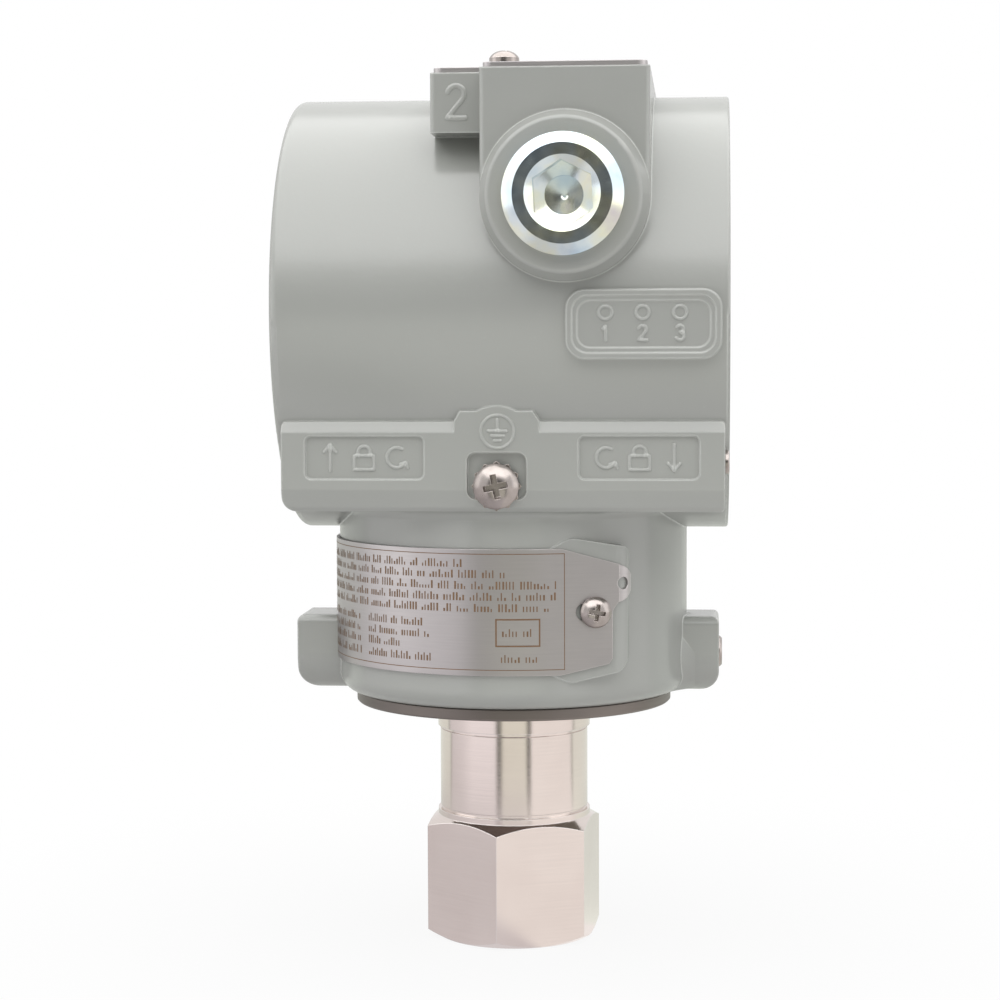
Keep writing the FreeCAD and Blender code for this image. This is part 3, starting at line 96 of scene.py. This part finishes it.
class Tree:
    def __init__(self, nodes_of):
        nodes_of.use_nodes = True
        self.tree = nodes_of.node_tree
        self.tree.nodes.clear()

    def node(self, kind, settings=None, inputs=None, out=0):
        made = self.tree.nodes.new("ShaderNode" + kind)
        for name, value in (settings or {}).items():
            if name == "stops":
                ramp = made.color_ramp.elements
                while len(ramp) < len(value):
                    ramp.new(0.5)
                for stop, (place, colour) in zip(ramp, value):
                    stop.position = place
                    stop.color = (*colour[:3], 1)
            else:
                setattr(made, name, value)
        for name, value in (inputs or {}).items():
            if isinstance(value, Value):
                self.tree.links.new(value.socket, made.inputs[name])
            else:
                made.inputs[name].default_value = value
        return Value(self, made.outputs[out]) if made.outputs else None

    def math(self, operation, *items):
        return self.node("Math", {"operation": operation}, dict(enumerate(items)))

    def place(self):
        """Position on the object in metres, which is the frame's own position."""
        return self.node("TexCoord", out="Object")

    def stretched(self, x, y, z):
        return self.node("Mapping", None, {"Vector": self.place(), "Scale": (x, y, z)})

    def noise(self, scale, detail=2.0, vector=None):
        return self.node("TexNoise", None, {"Vector": vector or self.place(), "Scale": scale,
                                            "Detail": detail})

    def ramp(self, value, stops):
        return self.node("ValToRGB", {"stops": stops}, {"Fac": value})

    def mix(self, factor, first, second):
        return self.node("Mix", {"data_type": "RGBA"},
                         {"Factor": factor, 6: first, 7: second}, out=2)

    def bump(self, height, depth, strength=1.0, normal=None):
        inputs = {"Height": height, "Distance": depth, "Strength": strength}
        if normal:
            inputs["Normal"] = normal
        return self.node("Bump", None, inputs)

    def edge(self, soft_edge):
        """Mask of the painted edge highlights: 1 where a rounded normal leaves the flat one, 0
        away from the edges.
        """
        bent = self.node("VectorMath", {"operation": "DOT_PRODUCT"},
                         {0: soft_edge, 1: self.node("NewGeometry", out=1)}, out=1)
        return (1 - bent).above(EDGE_HIGHLIGHT_BEND, EDGE_HIGHLIGHT_SOFT)


print("a tree can add", [name for name in vars(Tree) if not name.startswith("_")])

# %% A finish with one principled shader
def rgba(red, green, blue):
    """Screen colour from 0 to 255, turned into the linear colour that shaders take."""
    linear = [((c / 255 + 0.055) / 1.055) ** 2.4 for c in (red, green, blue)]
    return (*linear, 1)


class Finish(Tree):
    def __init__(self, name):
        self.material = bpy.data.materials.new(name)
        super().__init__(self.material)
        self.name = name

    def shade(self, **sockets):
        """Join the principled shader; underscores in the names stand for spaces."""
        shader = self.node("BsdfPrincipled", None,
                           {name.replace("_", " "): value for name, value in sockets.items()})
        self.node("OutputMaterial", None, {"Surface": shader})
        print("finish", self.name, "with", len(self.tree.nodes), "nodes")
        return self.material


print("middle grey in linear light", [round(c, 3) for c in rgba(128, 128, 128)[:3]])

# %% [markdown]
# ## Baked paint on the casting
# The housing is sprayed and baked: a grey green with a soft gloss and a faint orange peel.
# The casting's edges are rounded by the blast and the paint, so a Bevel node bends the normal
# over half a millimetre there, and the solid itself stays as it is. The bend of that normal
# also gives a painted highlight: a paler colour along the edges.

# %% Painted casting
PAINT_ROUND = 0.45 * MM
PEEL_DEPTH = 0.05 * MM


def painted_casting():
    f = Finish("baked_grey_green_paint")
    cloud = f.noise(28.0, 3.0)
    speck = f.noise(2600.0, 1.0)
    colour = f.mix(cloud, rgba(162, 164, 159), rgba(168, 169, 165))
    colour = f.mix(speck.above(0.72, 0.04) * 0.35, colour, rgba(172, 174, 168))
    peel = f.noise(900.0, 2.0) * 0.7 + f.noise(210.0, 1.0) * 0.6
    soft_edge = f.node("Bevel", {"samples": 6}, {"Radius": PAINT_ROUND})
    # Painted highlight: a paler colour along the rounded edges.
    colour = f.mix(f.edge(soft_edge) * 0.6, colour, rgba(224, 226, 221))
    return f.shade(Base_Color=colour, Roughness=0.19 + f.noise(160.0, 3.0) * 0.08,
                   Normal=f.bump(peel, PEEL_DEPTH, 0.35, soft_edge), Specular_IOR_Level=0.9)


# %% [markdown]
# ## Steel
# Turned parts carry fine rings round the neck's axis, so the noise is squeezed along Z.
# Sheet is brushed along its length, and screws are bright with a little tarnish. All of them
# share one recipe with different grain, because the same metal is worked in different ways.

# %% Worked steel
STEEL_ROUND = 0.2 * MM
EDGE_HIGHLIGHT_PALEST = 240


def worked_steel(name, colour, tint, rough, grain, depth, clouds=60.0):
    f = Finish(name)
    lines = f.noise(1.0, 4.0, f.stretched(*grain))
    patch = f.noise(clouds, 3.0)
    base = f.mix(patch.above(0.52, 0.22), rgba(*colour), rgba(*tint))
    base = f.mix((lines - 0.35) * 0.35, base, rgba(*(c * 0.8 for c in colour)))
    soft_edge = f.node("Bevel", {"samples": 4}, {"Radius": STEEL_ROUND})
    # Painted highlight: a paler colour along the rounded edges of the steel.
    pale = rgba(*(min(c * 1.25, EDGE_HIGHLIGHT_PALEST) for c in colour))
    base = f.mix(f.edge(soft_edge) * 0.5, base, pale)
    return f.shade(Base_Color=base, Metallic=1.0,
                   Roughness=rough + (lines - 0.5) * 0.12 + (patch - 0.5) * 0.10,
                   Normal=f.bump(lines, depth * MM, 0.5, soft_edge))


turned = worked_steel("turned_stainless_steel", (232, 221, 215), (226, 214, 208), rough=0.13,
                      grain=(60, 60, 15000), depth=0.012)
# The flange's darker colour is painted shade: the flange faces down and sits in shade.
flange = worked_steel("flange_steel_painted_shade", (126, 119, 114), (118, 112, 108), rough=0.42,
                      grain=(90, 90, 1600), depth=0.01)
foil = worked_steel("bright_foil", (226, 226, 226), (214, 214, 216), rough=0.18,
                    grain=(300, 300, 300), depth=0.004)
sheet = worked_steel("brushed_sheet", (190, 186, 185), (180, 176, 176), rough=0.36,
                     grain=(130, 130, 3800), depth=0.006, clouds=45.0)
bright = worked_steel("bright_screw_steel", (178, 170, 166), (158, 150, 145), rough=0.24,
                      grain=(900, 900, 900), depth=0.006, clouds=260.0)
button = worked_steel("turned_button_steel", (200, 200, 200), (186, 186, 188), rough=0.3,
                      grain=(700, 700, 700), depth=0.006, clouds=200.0)

# %% [markdown]
# ## Zinc plate
# Passivated zinc shows pale blue, straw and rose clouds where its film is thinner or thicker.
# A colour ramp over a slow noise gives those bands, and finer noises change gloss and relief.

# %% Passivated zinc
def passivated_zinc():
    f = Finish("blue_passivated_zinc")
    film = f.noise(120.0, 3.0)
    colour = f.ramp(film, [(0.30, rgba(186, 204, 218)), (0.46, rgba(212, 222, 224)),
                           (0.58, rgba(222, 224, 204)), (0.70, rgba(208, 204, 204))])
    grain = f.noise(2400.0, 2.0)
    return f.shade(Base_Color=colour, Metallic=1.0, Roughness=0.13 + f.noise(420.0, 4.0) * 0.14,
                   Normal=f.bump(grain, 0.01 * MM, 0.4))


# %% [markdown]
# ## What isn't steel
# Inside are rubber rings, moulded plastic, circuit boards, glass and plated brass. They show
# only when the covers come off, yet each gets grain of its own scale.

# %% Moulded and coated finishes
def grained(name, colour, tint, rough, scale, depth, metal=0.0):
    f = Finish(name)
    grain = f.noise(scale, 3.0)
    base = f.mix(f.noise(scale * 0.12, 2.0).above(0.5, 0.25), rgba(*colour), rgba(*tint))
    return f.shade(Base_Color=base, Metallic=metal, Roughness=rough + (grain - 0.5) * 0.15,
                   Normal=f.bump(grain, depth * MM, 0.6))


FINISHES = {
    "painted_casting": painted_casting(),
    "turned_stainless": turned,
    "sensor_stainless": flange,
    "diaphragm_steel": foil,
    "plate_stainless": sheet,
    "screw_stainless": bright,
    "zinc_plate": passivated_zinc(),
    "seal_rubber": grained("seal_rubber", (34, 34, 35), (44, 43, 42), 0.6, 1800.0, 0.02),
    "moulded_plastic": grained("moulded_plastic", (38, 38, 41), (50, 50, 52), 0.42, 2400.0, 0.015),
    "circuit_board": grained("circuit_board_mask", (22, 84, 50), (30, 104, 62), 0.35, 900.0, 0.01),
    "seal_glass": grained("fused_glass", (84, 102, 106), (98, 116, 118), 0.12, 700.0, 0.004),
    "plated_brass": grained("plated_brass", (214, 204, 170), (200, 186, 150), 0.25, 1500.0, 0.004,
                            1.0),
    "button_steel": button,
}

# %% [markdown]
# ## Finishes on the solids
# The record says which material each piece is made of. Its slot name picks the finish, so a
# piece that is added to the frame is dressed without a new line here.

# %% Give each solid its finish
node_slot = {part["node"]: part["material_slot"] for part in frame["record"]["subparts"]}
for name, solid in frame["nodes"].items():
    if not solid.material_slots:
        solid.data.materials.append(None)
    for holder in solid.material_slots:
        holder.material = FINISHES[node_slot[name]]
print("solids with a finish", len(frame["nodes"]))

# %% [markdown]
# ## Raised signs of the casting
# The die leaves its signs as low ridges under the paint: an earth sign, small pictures in the
# sunk fields, and numerals. Text objects would give flat letters with sharp walls. A ridge
# swept along a stroke has the round top and round ends of the real ones, so each sign is
# written as strokes on a flat face.

# %% Strokes
def arc(u, v, radius, start, end, steps=14):
    """Points of an arc; the angles are degrees from the u axis."""
    turns = [math.radians(start + (end - start) * i / steps) for i in range(steps + 1)]
    return [(u + radius * math.cos(a), v + radius * math.sin(a)) for a in turns]


def moved(strokes, u, v, size=1.0):
    return [[(u + size * a, v + size * b) for a, b in line] for line in strokes]


def numeral(digit):
    """Strokes of a plain numeral, one unit high and centred."""
    return {
        1: [[(-0.16, 0.30), (0.04, 0.5), (0.04, -0.5)]],
        2: [arc(0, 0.24, 0.26, 165, -35, 16) + [(-0.28, -0.5), (0.30, -0.5)]],
        3: [arc(0, 0.25, 0.25, 150, -80, 16), arc(0, -0.22, 0.28, 80, -150, 16)],
    }[digit]


PADLOCK = [[(-0.42, -0.5), (0.42, -0.5), (0.42, 0.08), (-0.42, 0.08), (-0.42, -0.5)],
           [(-0.26, 0.08)] + arc(0, 0.22, 0.26, 180, 0) + [(0.26, 0.08)]]
UP_ARROW = [[(0, -0.5), (0, 0.5)], [(-0.22, 0.22), (0, 0.5), (0.22, 0.22)]]
DOWN_ARROW = [[(a, -b) for a, b in line] for line in UP_ARROW]
TURN_ARROW = [arc(0, 0, 0.42, 60, 330, 22), [(0.16, -0.28), (0.37, -0.21), (0.45, -0.42)]]
EARTH = [arc(0, 0, 2.9, 0, 360, 48), [(0, 2.1), (0, 0.1)], [(-1.6, 0.1), (1.6, 0.1)],
         [(-1.05, -0.75), (1.05, -0.75)], [(-0.5, -1.6), (0.5, -1.6)]]
print("strokes of the earth sign", len(EARTH))

# %% A ridge along a stroke
# Across a ridge: place from side to side, and height. Along a round end: size, and way out.
RIDGE = [(-1.0, 0.0), (-0.86, 0.51), (-0.5, 0.87), (0.0, 1.0), (0.5, 0.87), (0.86, 0.51),
         (1.0, 0.0)]
ROUND_END = [(1.0, 0.0), (0.87, 0.5), (0.6, 0.8), (0.2, 0.98)]
SUNK = 0.04  # mm that a ridge's foot lies under the face, so that no gap shows
RING_STEP = 0.3
SAME_PLACE = 1e-6


def even_points(line, step):
    """Points along a stroke that lie about one step apart and keep its corners."""
    points = [Vector(line[0])]
    for start, end in zip(line, line[1:]):
        run = Vector(end) - Vector(start)
        count = max(1, round(run.length / step))
        points += [Vector(start) + run * (i / count) for i in range(1, count + 1)]
    return points


def ridge(line, half, height, mesh_points, mesh_faces):
    """Add a ridge along a stroke: a closed stroke meets itself, an open one gets round ends."""
    points = even_points(line, RING_STEP)
    closed = (points[0] - points[-1]).length < SAME_PLACE
    rings = []
    for i, point in enumerate(points):
        before = points[i - 1] if i else (points[-2] if closed else point)
        after = points[i + 1] if i + 1 < len(points) else (points[1] if closed else point)
        ahead = (after - before).normalized()
        rings.append((point, ahead, 1.0))
    if not closed:
        start, ahead, _ = rings[0]
        rings = [(start - ahead * half * out, ahead, size)
                 for size, out in ROUND_END[:0:-1]] + rings
        end, ahead, _ = rings[-1]
        rings += [(end + ahead * half * out, ahead, size) for size, out in ROUND_END[1:]]
    first = len(mesh_points)
    width = len(RIDGE)
    for point, ahead, size in rings:
        across = Vector((-ahead.y, ahead.x))
        for side_step, rise in RIDGE:
            at = point + across * side_step * half * size
            mesh_points.append((at.x, at.y, rise * height * size - SUNK))
    for i in range(len(rings) - 1):
        for j in range(width - 1):
            a = first + i * width + j
            mesh_faces.append((a, a + width, a + width + 1, a + 1))


def signs(name, strokes, origin, right_way, up_way, half=0.4, height=0.3):
    """Ridges on a face of the casting; origin in mm, strokes in mm along the two ways."""
    points, faces = [], []
    for line in strokes:
        ridge(line, half, height, points, faces)
    along, up = Vector(right_way), Vector(up_way)
    out = along.cross(up)
    places = [(Vector(origin) + along * u + up * v + out * h) * MM for u, v, h in points]
    mesh = bpy.data.meshes.new(name)
    mesh.from_pydata(places, [], faces)
    mesh.polygons.foreach_set("use_smooth", [True] * len(mesh.polygons))
    made = bpy.data.objects.new(name, mesh)
    bpy.context.collection.objects.link(made)
    made.data.materials.append(FINISHES["painted_casting"])
    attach(made, "housing")
    print(name, "has", len(faces), "faces")


print("a ridge has", len(RIDGE), "points across")

# %% Signs on the faces
FRONT = ((1, 0, 0), (0, 0, 1))
BACK = ((-1, 0, 0), (0, 0, 1))
BAR_NUMERAL = 5.6
BAR_FACE, BAR_X, BAR_Z = 33.1, -7.15, 154.3
ICON, ARROW, ICON_MIDDLE = 4.2, 4.6, 3.8
FIELD_FACE, FIELD_FOOT = -36.0, 88.6
signs("bar_numeral_front", moved(numeral(2), 0, 0, BAR_NUMERAL), (BAR_X, -BAR_FACE, BAR_Z),
      *FRONT, half=0.5)
signs("bar_numeral_back", moved(numeral(1), 0, 0, BAR_NUMERAL), (BAR_X, BAR_FACE, BAR_Z),
      *BACK, half=0.5)
signs("earth_sign", EARTH, (0.16, -36.6, 96.97), *FRONT, half=0.32, height=0.32)
signs("left_field_signs", moved(UP_ARROW, 4.4, ICON_MIDDLE, ARROW)
      + moved(PADLOCK, 10.4, ICON_MIDDLE, ICON) + moved(TURN_ARROW, 16.2, ICON_MIDDLE, ICON),
      (-33.75, FIELD_FACE, FIELD_FOOT), *FRONT, half=0.34, height=0.36)
signs("right_field_signs", moved(TURN_ARROW, 4.8, ICON_MIDDLE, ICON)
      + moved(PADLOCK, 10.6, ICON_MIDDLE, ICON) + moved(DOWN_ARROW, 16.6, ICON_MIDDLE, ARROW),
      (14.3, FIELD_FACE, FIELD_FOOT), *FRONT, half=0.34, height=0.36)
terminals = []
for count, middle in enumerate((4.6, 11.0, 17.4)):
    terminals.append(arc(middle, 5.6, 1.15, 0, 360, 28))
    terminals += moved(numeral(count + 1), middle, 2.1, 2.5)
signs("panel_signs", terminals, (14.5, -40.5, 111.9), *FRONT, half=0.34, height=0.36)

# %% [markdown]
# ## Print on the name plate
# The plate is etched brown: a border, rows of small marks and a ruled field. A texture would
# blur up close, so the ink is a skin of little quads bent with the sheet. The rows say nothing:
# each is a run of plain upright strokes, with a gap where a word would end.

# %% Where ink lies on the plate
PLATE_R = 33.52  # 0.02 mm outside the sheet's face
PLATE_TURN = math.radians(14.0)
PLATE_LOW, PLATE_HIGH = 53.7, 76.2
BAR_STEP = 0.8
STROKE_TOPS = (0, 0, 0.3, 0.3, 0.6)
STROKE_WIDTHS = (0.22, 0.32)
STROKE_STEP, WORD_GAP = 0.6, 0.75


def on_plate(run, down):
    """Place run mm to the right of the flat end's start, and down mm below the plate's top."""
    turn = PLATE_TURN + min(run, 0) / PLATE_R
    flat = max(run, 0)
    return Vector((PLATE_R * math.sin(turn) + flat * math.cos(turn),
                   -PLATE_R * math.cos(turn) + flat * math.sin(turn), PLATE_HIGH - down)) * MM


class Ink:
    def __init__(self):
        self.points, self.faces = [], []

    def bar(self, run, down, length, height):
        """A filled bar from its upper left corner, cut into short quads so that it bends."""
        steps = max(1, math.ceil(length / BAR_STEP))
        first = len(self.points)
        for i in range(steps + 1):
            at = run + length * i / steps
            self.points += [on_plate(at, down), on_plate(at, down + height)]
        self.faces += [(first + 2 * i, first + 2 * i + 1, first + 2 * i + 3, first + 2 * i + 2)
                       for i in range(steps)]

    def frame(self, run, down, length, height, line):
        self.bar(run, down, length, line)
        self.bar(run, down + height - line, length, line)
        self.bar(run, down + line, line, height - 2 * line)
        self.bar(run + length - line, down + line, line, height - 2 * line)

    def row(self, run, down, end, high):
        """Strokes like small print, with word gaps drawn from the seeded chance."""
        while run < end:
            for _ in range(chance.randint(3, 9)):
                start = chance.choice(STROKE_TOPS) * high
                self.bar(run, down + start, chance.choice(STROKE_WIDTHS), high - start)
                run += STROKE_STEP
                if run > end:
                    return
            run += WORD_GAP

    def piece(self, name, material):
        mesh = bpy.data.meshes.new(name)
        mesh.from_pydata(self.points, [], self.faces)
        made = bpy.data.objects.new(name, mesh)
        bpy.context.collection.objects.link(made)
        made.data.materials.append(material)
        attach(made, "housing")
        print(name, "has", len(self.faces), "faces")


print("the flat end starts at", [round(v / MM, 1) for v in on_plate(0, 0)], "mm")

# %% Etched marks
def etched_ink():
    f = Finish("etched_brown_ink")
    wear = f.noise(1500.0, 2.0)
    colour = f.mix(wear, rgba(108, 82, 60), rgba(138, 110, 84))
    return f.shade(Base_Color=colour, Metallic=0.25, Roughness=0.4 + wear * 0.2)


chance = random.Random(11)
print_rows = Ink()
FIELD_LEFT, FIELD_RIGHT = -69.6, 3.6
MARGIN = 0.9
PRINT_HIGH = 1.4
print_rows.frame(FIELD_LEFT, MARGIN, FIELD_RIGHT - FIELD_LEFT,
                 PLATE_HIGH - PLATE_LOW - 2 * MARGIN, 0.14)
for down, end in ((1.9, -14.5), (3.8, -6.8), (5.8, 2.3), (7.8, 1.8), (9.8, 0.8)):
    print_rows.row(-66.0, down, end, PRINT_HIGH)
for down, end in ((12.6, -22.7), (14.6, -21.0), (16.6, -27.3), (18.8, -20.2)):
    print_rows.row(-64.0, down, -38.6, PRINT_HIGH)
    print_rows.row(-35.8, down, end, PRINT_HIGH)
print_rows.frame(-8.8, 12.4, 8.0, 5.0, 0.28)
print_rows.row(-7.6, 14.2, -2.2, PRINT_HIGH)
print_rows.row(-7.8, 18.8, -1.4, PRINT_HIGH)
print_rows.piece("plate_print", etched_ink())

# %% [markdown]
# ## Light
# A product picture of shiny metal is taken in a white tent. A broad lamp above gives the top
# its glow, and the tent's opening, where the camera looks in, stays dim. The tent is the world's
# colour by direction, so it stays where it is when the camera moves.

# %% Tent
CLOTH = 0.92
OPENING, OPENING_HIGH, OPENING_DIM = 0.36, 0.34, 0.84
POLE_TURN, POLE_HALF, POLE_DIM = 1.75, 0.12, 0.45
SOFT_LIGHT = 0.30


def tent():
    world = bpy.data.worlds.new("white_tent")
    bpy.context.scene.world = world
    t = Tree(world)
    x = t.node("SeparateXYZ", None, {"Vector": t.node("TexCoord", out="Generated")})
    y, z = x.beside(1), x.beside(2)
    across = t.math("ARCTAN2", x, y * -1)
    gap = 1 - abs(across).above(OPENING, 0.10)
    level = 1 - abs(z + 0.02).above(OPENING_HIGH, 0.08)
    pole = 1 - abs(abs(across) - POLE_TURN).above(POLE_HALF, 0.10)
    shade = CLOTH - gap * level * OPENING_DIM - pole * level * POLE_DIM
    seen = t.node("LightPath")
    strength = t.node("Mix", {"data_type": "FLOAT"}, {
        "Factor": seen.beside("Is Glossy Ray"), 2: SOFT_LIGHT, 3: shade})
    strength = t.node("Mix", {"data_type": "FLOAT"}, {"Factor": seen, 2: strength, 3: 1.0})
    t.node("OutputWorld", None, {"Surface": t.node("Background", None, {
        "Color": (1, 1, 1, 1), "Strength": strength})})
    print("tent nodes", len(t.tree.nodes))


tent()


# %% Lamps
def lamp(name, place, aim, size, power):
    data = bpy.data.lights.new(name, "AREA")
    data.shape = "RECTANGLE"
    data.size, data.size_y = size
    data.energy = power
    made = bpy.data.objects.new(name, data)
    bpy.context.collection.objects.link(made)
    made.location = place
    made.rotation_euler = (Vector(aim) - Vector(place)).to_track_quat("-Z", "Y").to_euler()
    made.visible_camera = False
    print("lamp", name, power, "W")
    return made


lamp("top_lamp", place=(0, -0.42, 0.80), aim=(0, -0.42, 0), size=(1.6, 1.9), power=15.6)
fill = lamp("floor_fill", place=(-0.01, -0.24, 0.01), aim=(0, -0.04, 0.10), size=(0.4, 0.12),
            power=0.17)
fill.visible_glossy = False
for name, x in (("left_wall", -0.75), ("right_wall", 0.75)):
    lamp(name, place=(x, -0.1, 0.25), aim=(0, 0, 0.08), size=(0.6, 0.9), power=1.2)

# %% [markdown]
# ## Floor
# To the camera the floor is white paper that keeps a faint shadow near the object's foot. In
# mirrored rays it isn't plain: polished steel shows what stands round it, so there the floor
# takes the tones of a tent's walls by direction. They are pale cloth, the darker opening in
# front, and the thin lines of its seams.

# %% Floor
GREEN, LILAC = (0.97, 1.0, 0.93), (1.0, 0.965, 0.99)
PINK, CREAM = (1.0, 0.97, 0.95), (1.0, 1.0, 0.90)
WHITE = (1, 1, 1, 1)
# Each row is a bearing in degrees, a tone and its level.
TENT_WALLS = [(-180, GREEN, 0.84), (-112, GREEN, 0.86), (-109, GREEN, 0.45), (-105, LILAC, 0.76),
              (-80, LILAC, 0.84), (-62, LILAC, 1.0), (-23, LILAC, 1.0), (-21, CREAM, 0.2),
              (-15, CREAM, 0.2), (-13, CREAM, 0.86), (23, CREAM, 0.86), (24, CREAM, 0.16),
              (29, CREAM, 0.16), (30, PINK, 1.0), (100, PINK, 0.98), (104, GREEN, 0.45),
              (108, GREEN, 0.92), (180, GREEN, 0.84)]
AT_THE_FOOT = [(-180, GREEN, 0.7), (-75, LILAC, 0.7), (-30, LILAC, 0.74), (18, LILAC, 0.78),
               (26, PINK, 1.0), (100, PINK, 1.0), (112, GREEN, 0.95), (180, GREEN, 0.7)]
FLOOR_HALF = 3.0
FOOT_REACH, SHADOW_REACH = 0.15, 0.06
SHADOW = 0.12


def floor():
    half = FLOOR_HALF
    mesh = bpy.data.meshes.new("floor")
    corners = [(-half, -half, 0), (half, -half, 0), (half, half, 0), (-half, half, 0)]
    mesh.from_pydata(corners, [], [(0, 1, 2, 3)])
    made = bpy.data.objects.new("floor", mesh)
    bpy.context.collection.objects.link(made)
    f = Finish("pale_floor")
    seen = f.node("LightPath")
    glossy = seen.beside("Is Glossy Ray")
    through = seen.beside("Is Transmission Ray")
    x = f.node("SeparateXYZ", None, {"Vector": f.place()})
    y = x.beside(1)
    bearing = f.math("ARCTAN2", x, y * -1) / math.tau + 0.5
    mirrored = [f.ramp(bearing, [(angle / 360 + 0.5, [part * level for part in tone])
                                 for angle, tone, level in walls])
                for walls in (AT_THE_FOOT, TENT_WALLS)]
    away = f.math("SQRT", x * x + y * y)
    colour = f.mix(glossy, WHITE, f.mix(away.above(FOOT_REACH, 0.03), *mirrored))
    near = 1 - away.above(SHADOW_REACH, 0.1)
    lit = f.node("BsdfDiffuse", None, {
        "Color": f.mix(f.noise(6.0), rgba(190, 190, 190), rgba(194, 194, 194))})
    glow = f.node("Emission", None, {"Color": colour, "Strength": 1.0})
    factor = seen * (1 - near * SHADOW) + glossy + through
    f.node("OutputMaterial", None, {
        "Surface": f.node("MixShader", None, {0: factor, 1: lit, 2: glow})})
    made.data.materials.append(f.material)
    print("floor with", len(f.tree.nodes), "nodes")


floor()

# %% [markdown]
# ## Camera
# The angles, the aim and the distance were matched to the photograph by the outlines of parts
# with a known size. The camera stands still, so its frame is written down as a matrix.

# %% Camera
IMAGE = 1000
FOCAL = 2367.39
SENSOR = 36.0
YAW, PITCH, ROLL = (math.radians(v) for v in (4.875, 3.728, -0.216))
AIM = Vector((-2.525, 0, 82.632)) * MM
DISTANCE = 449.654 * MM
forward = Vector((-math.sin(YAW) * math.cos(PITCH), math.cos(YAW) * math.cos(PITCH),
                  -math.sin(PITCH)))
side = forward.cross(Vector((0, 0, 1))).normalized()
over = side.cross(forward)
right = side * math.cos(ROLL) + over * math.sin(ROLL)
top = over * math.cos(ROLL) - side * math.sin(ROLL)
lens = bpy.data.cameras.new("camera")
lens.sensor_width = SENSOR
lens.lens = FOCAL / IMAGE * SENSOR
camera = bpy.data.objects.new("camera", lens)
bpy.context.collection.objects.link(camera)
turn = Matrix((right, top, -forward)).transposed().to_4x4()
camera.matrix_world = Matrix.Translation(AIM - forward * DISTANCE) @ turn
bpy.context.scene.camera = camera
bpy.context.scene.view_settings.view_transform = "Standard"
print("lens", round(lens.lens, 2), "mm")
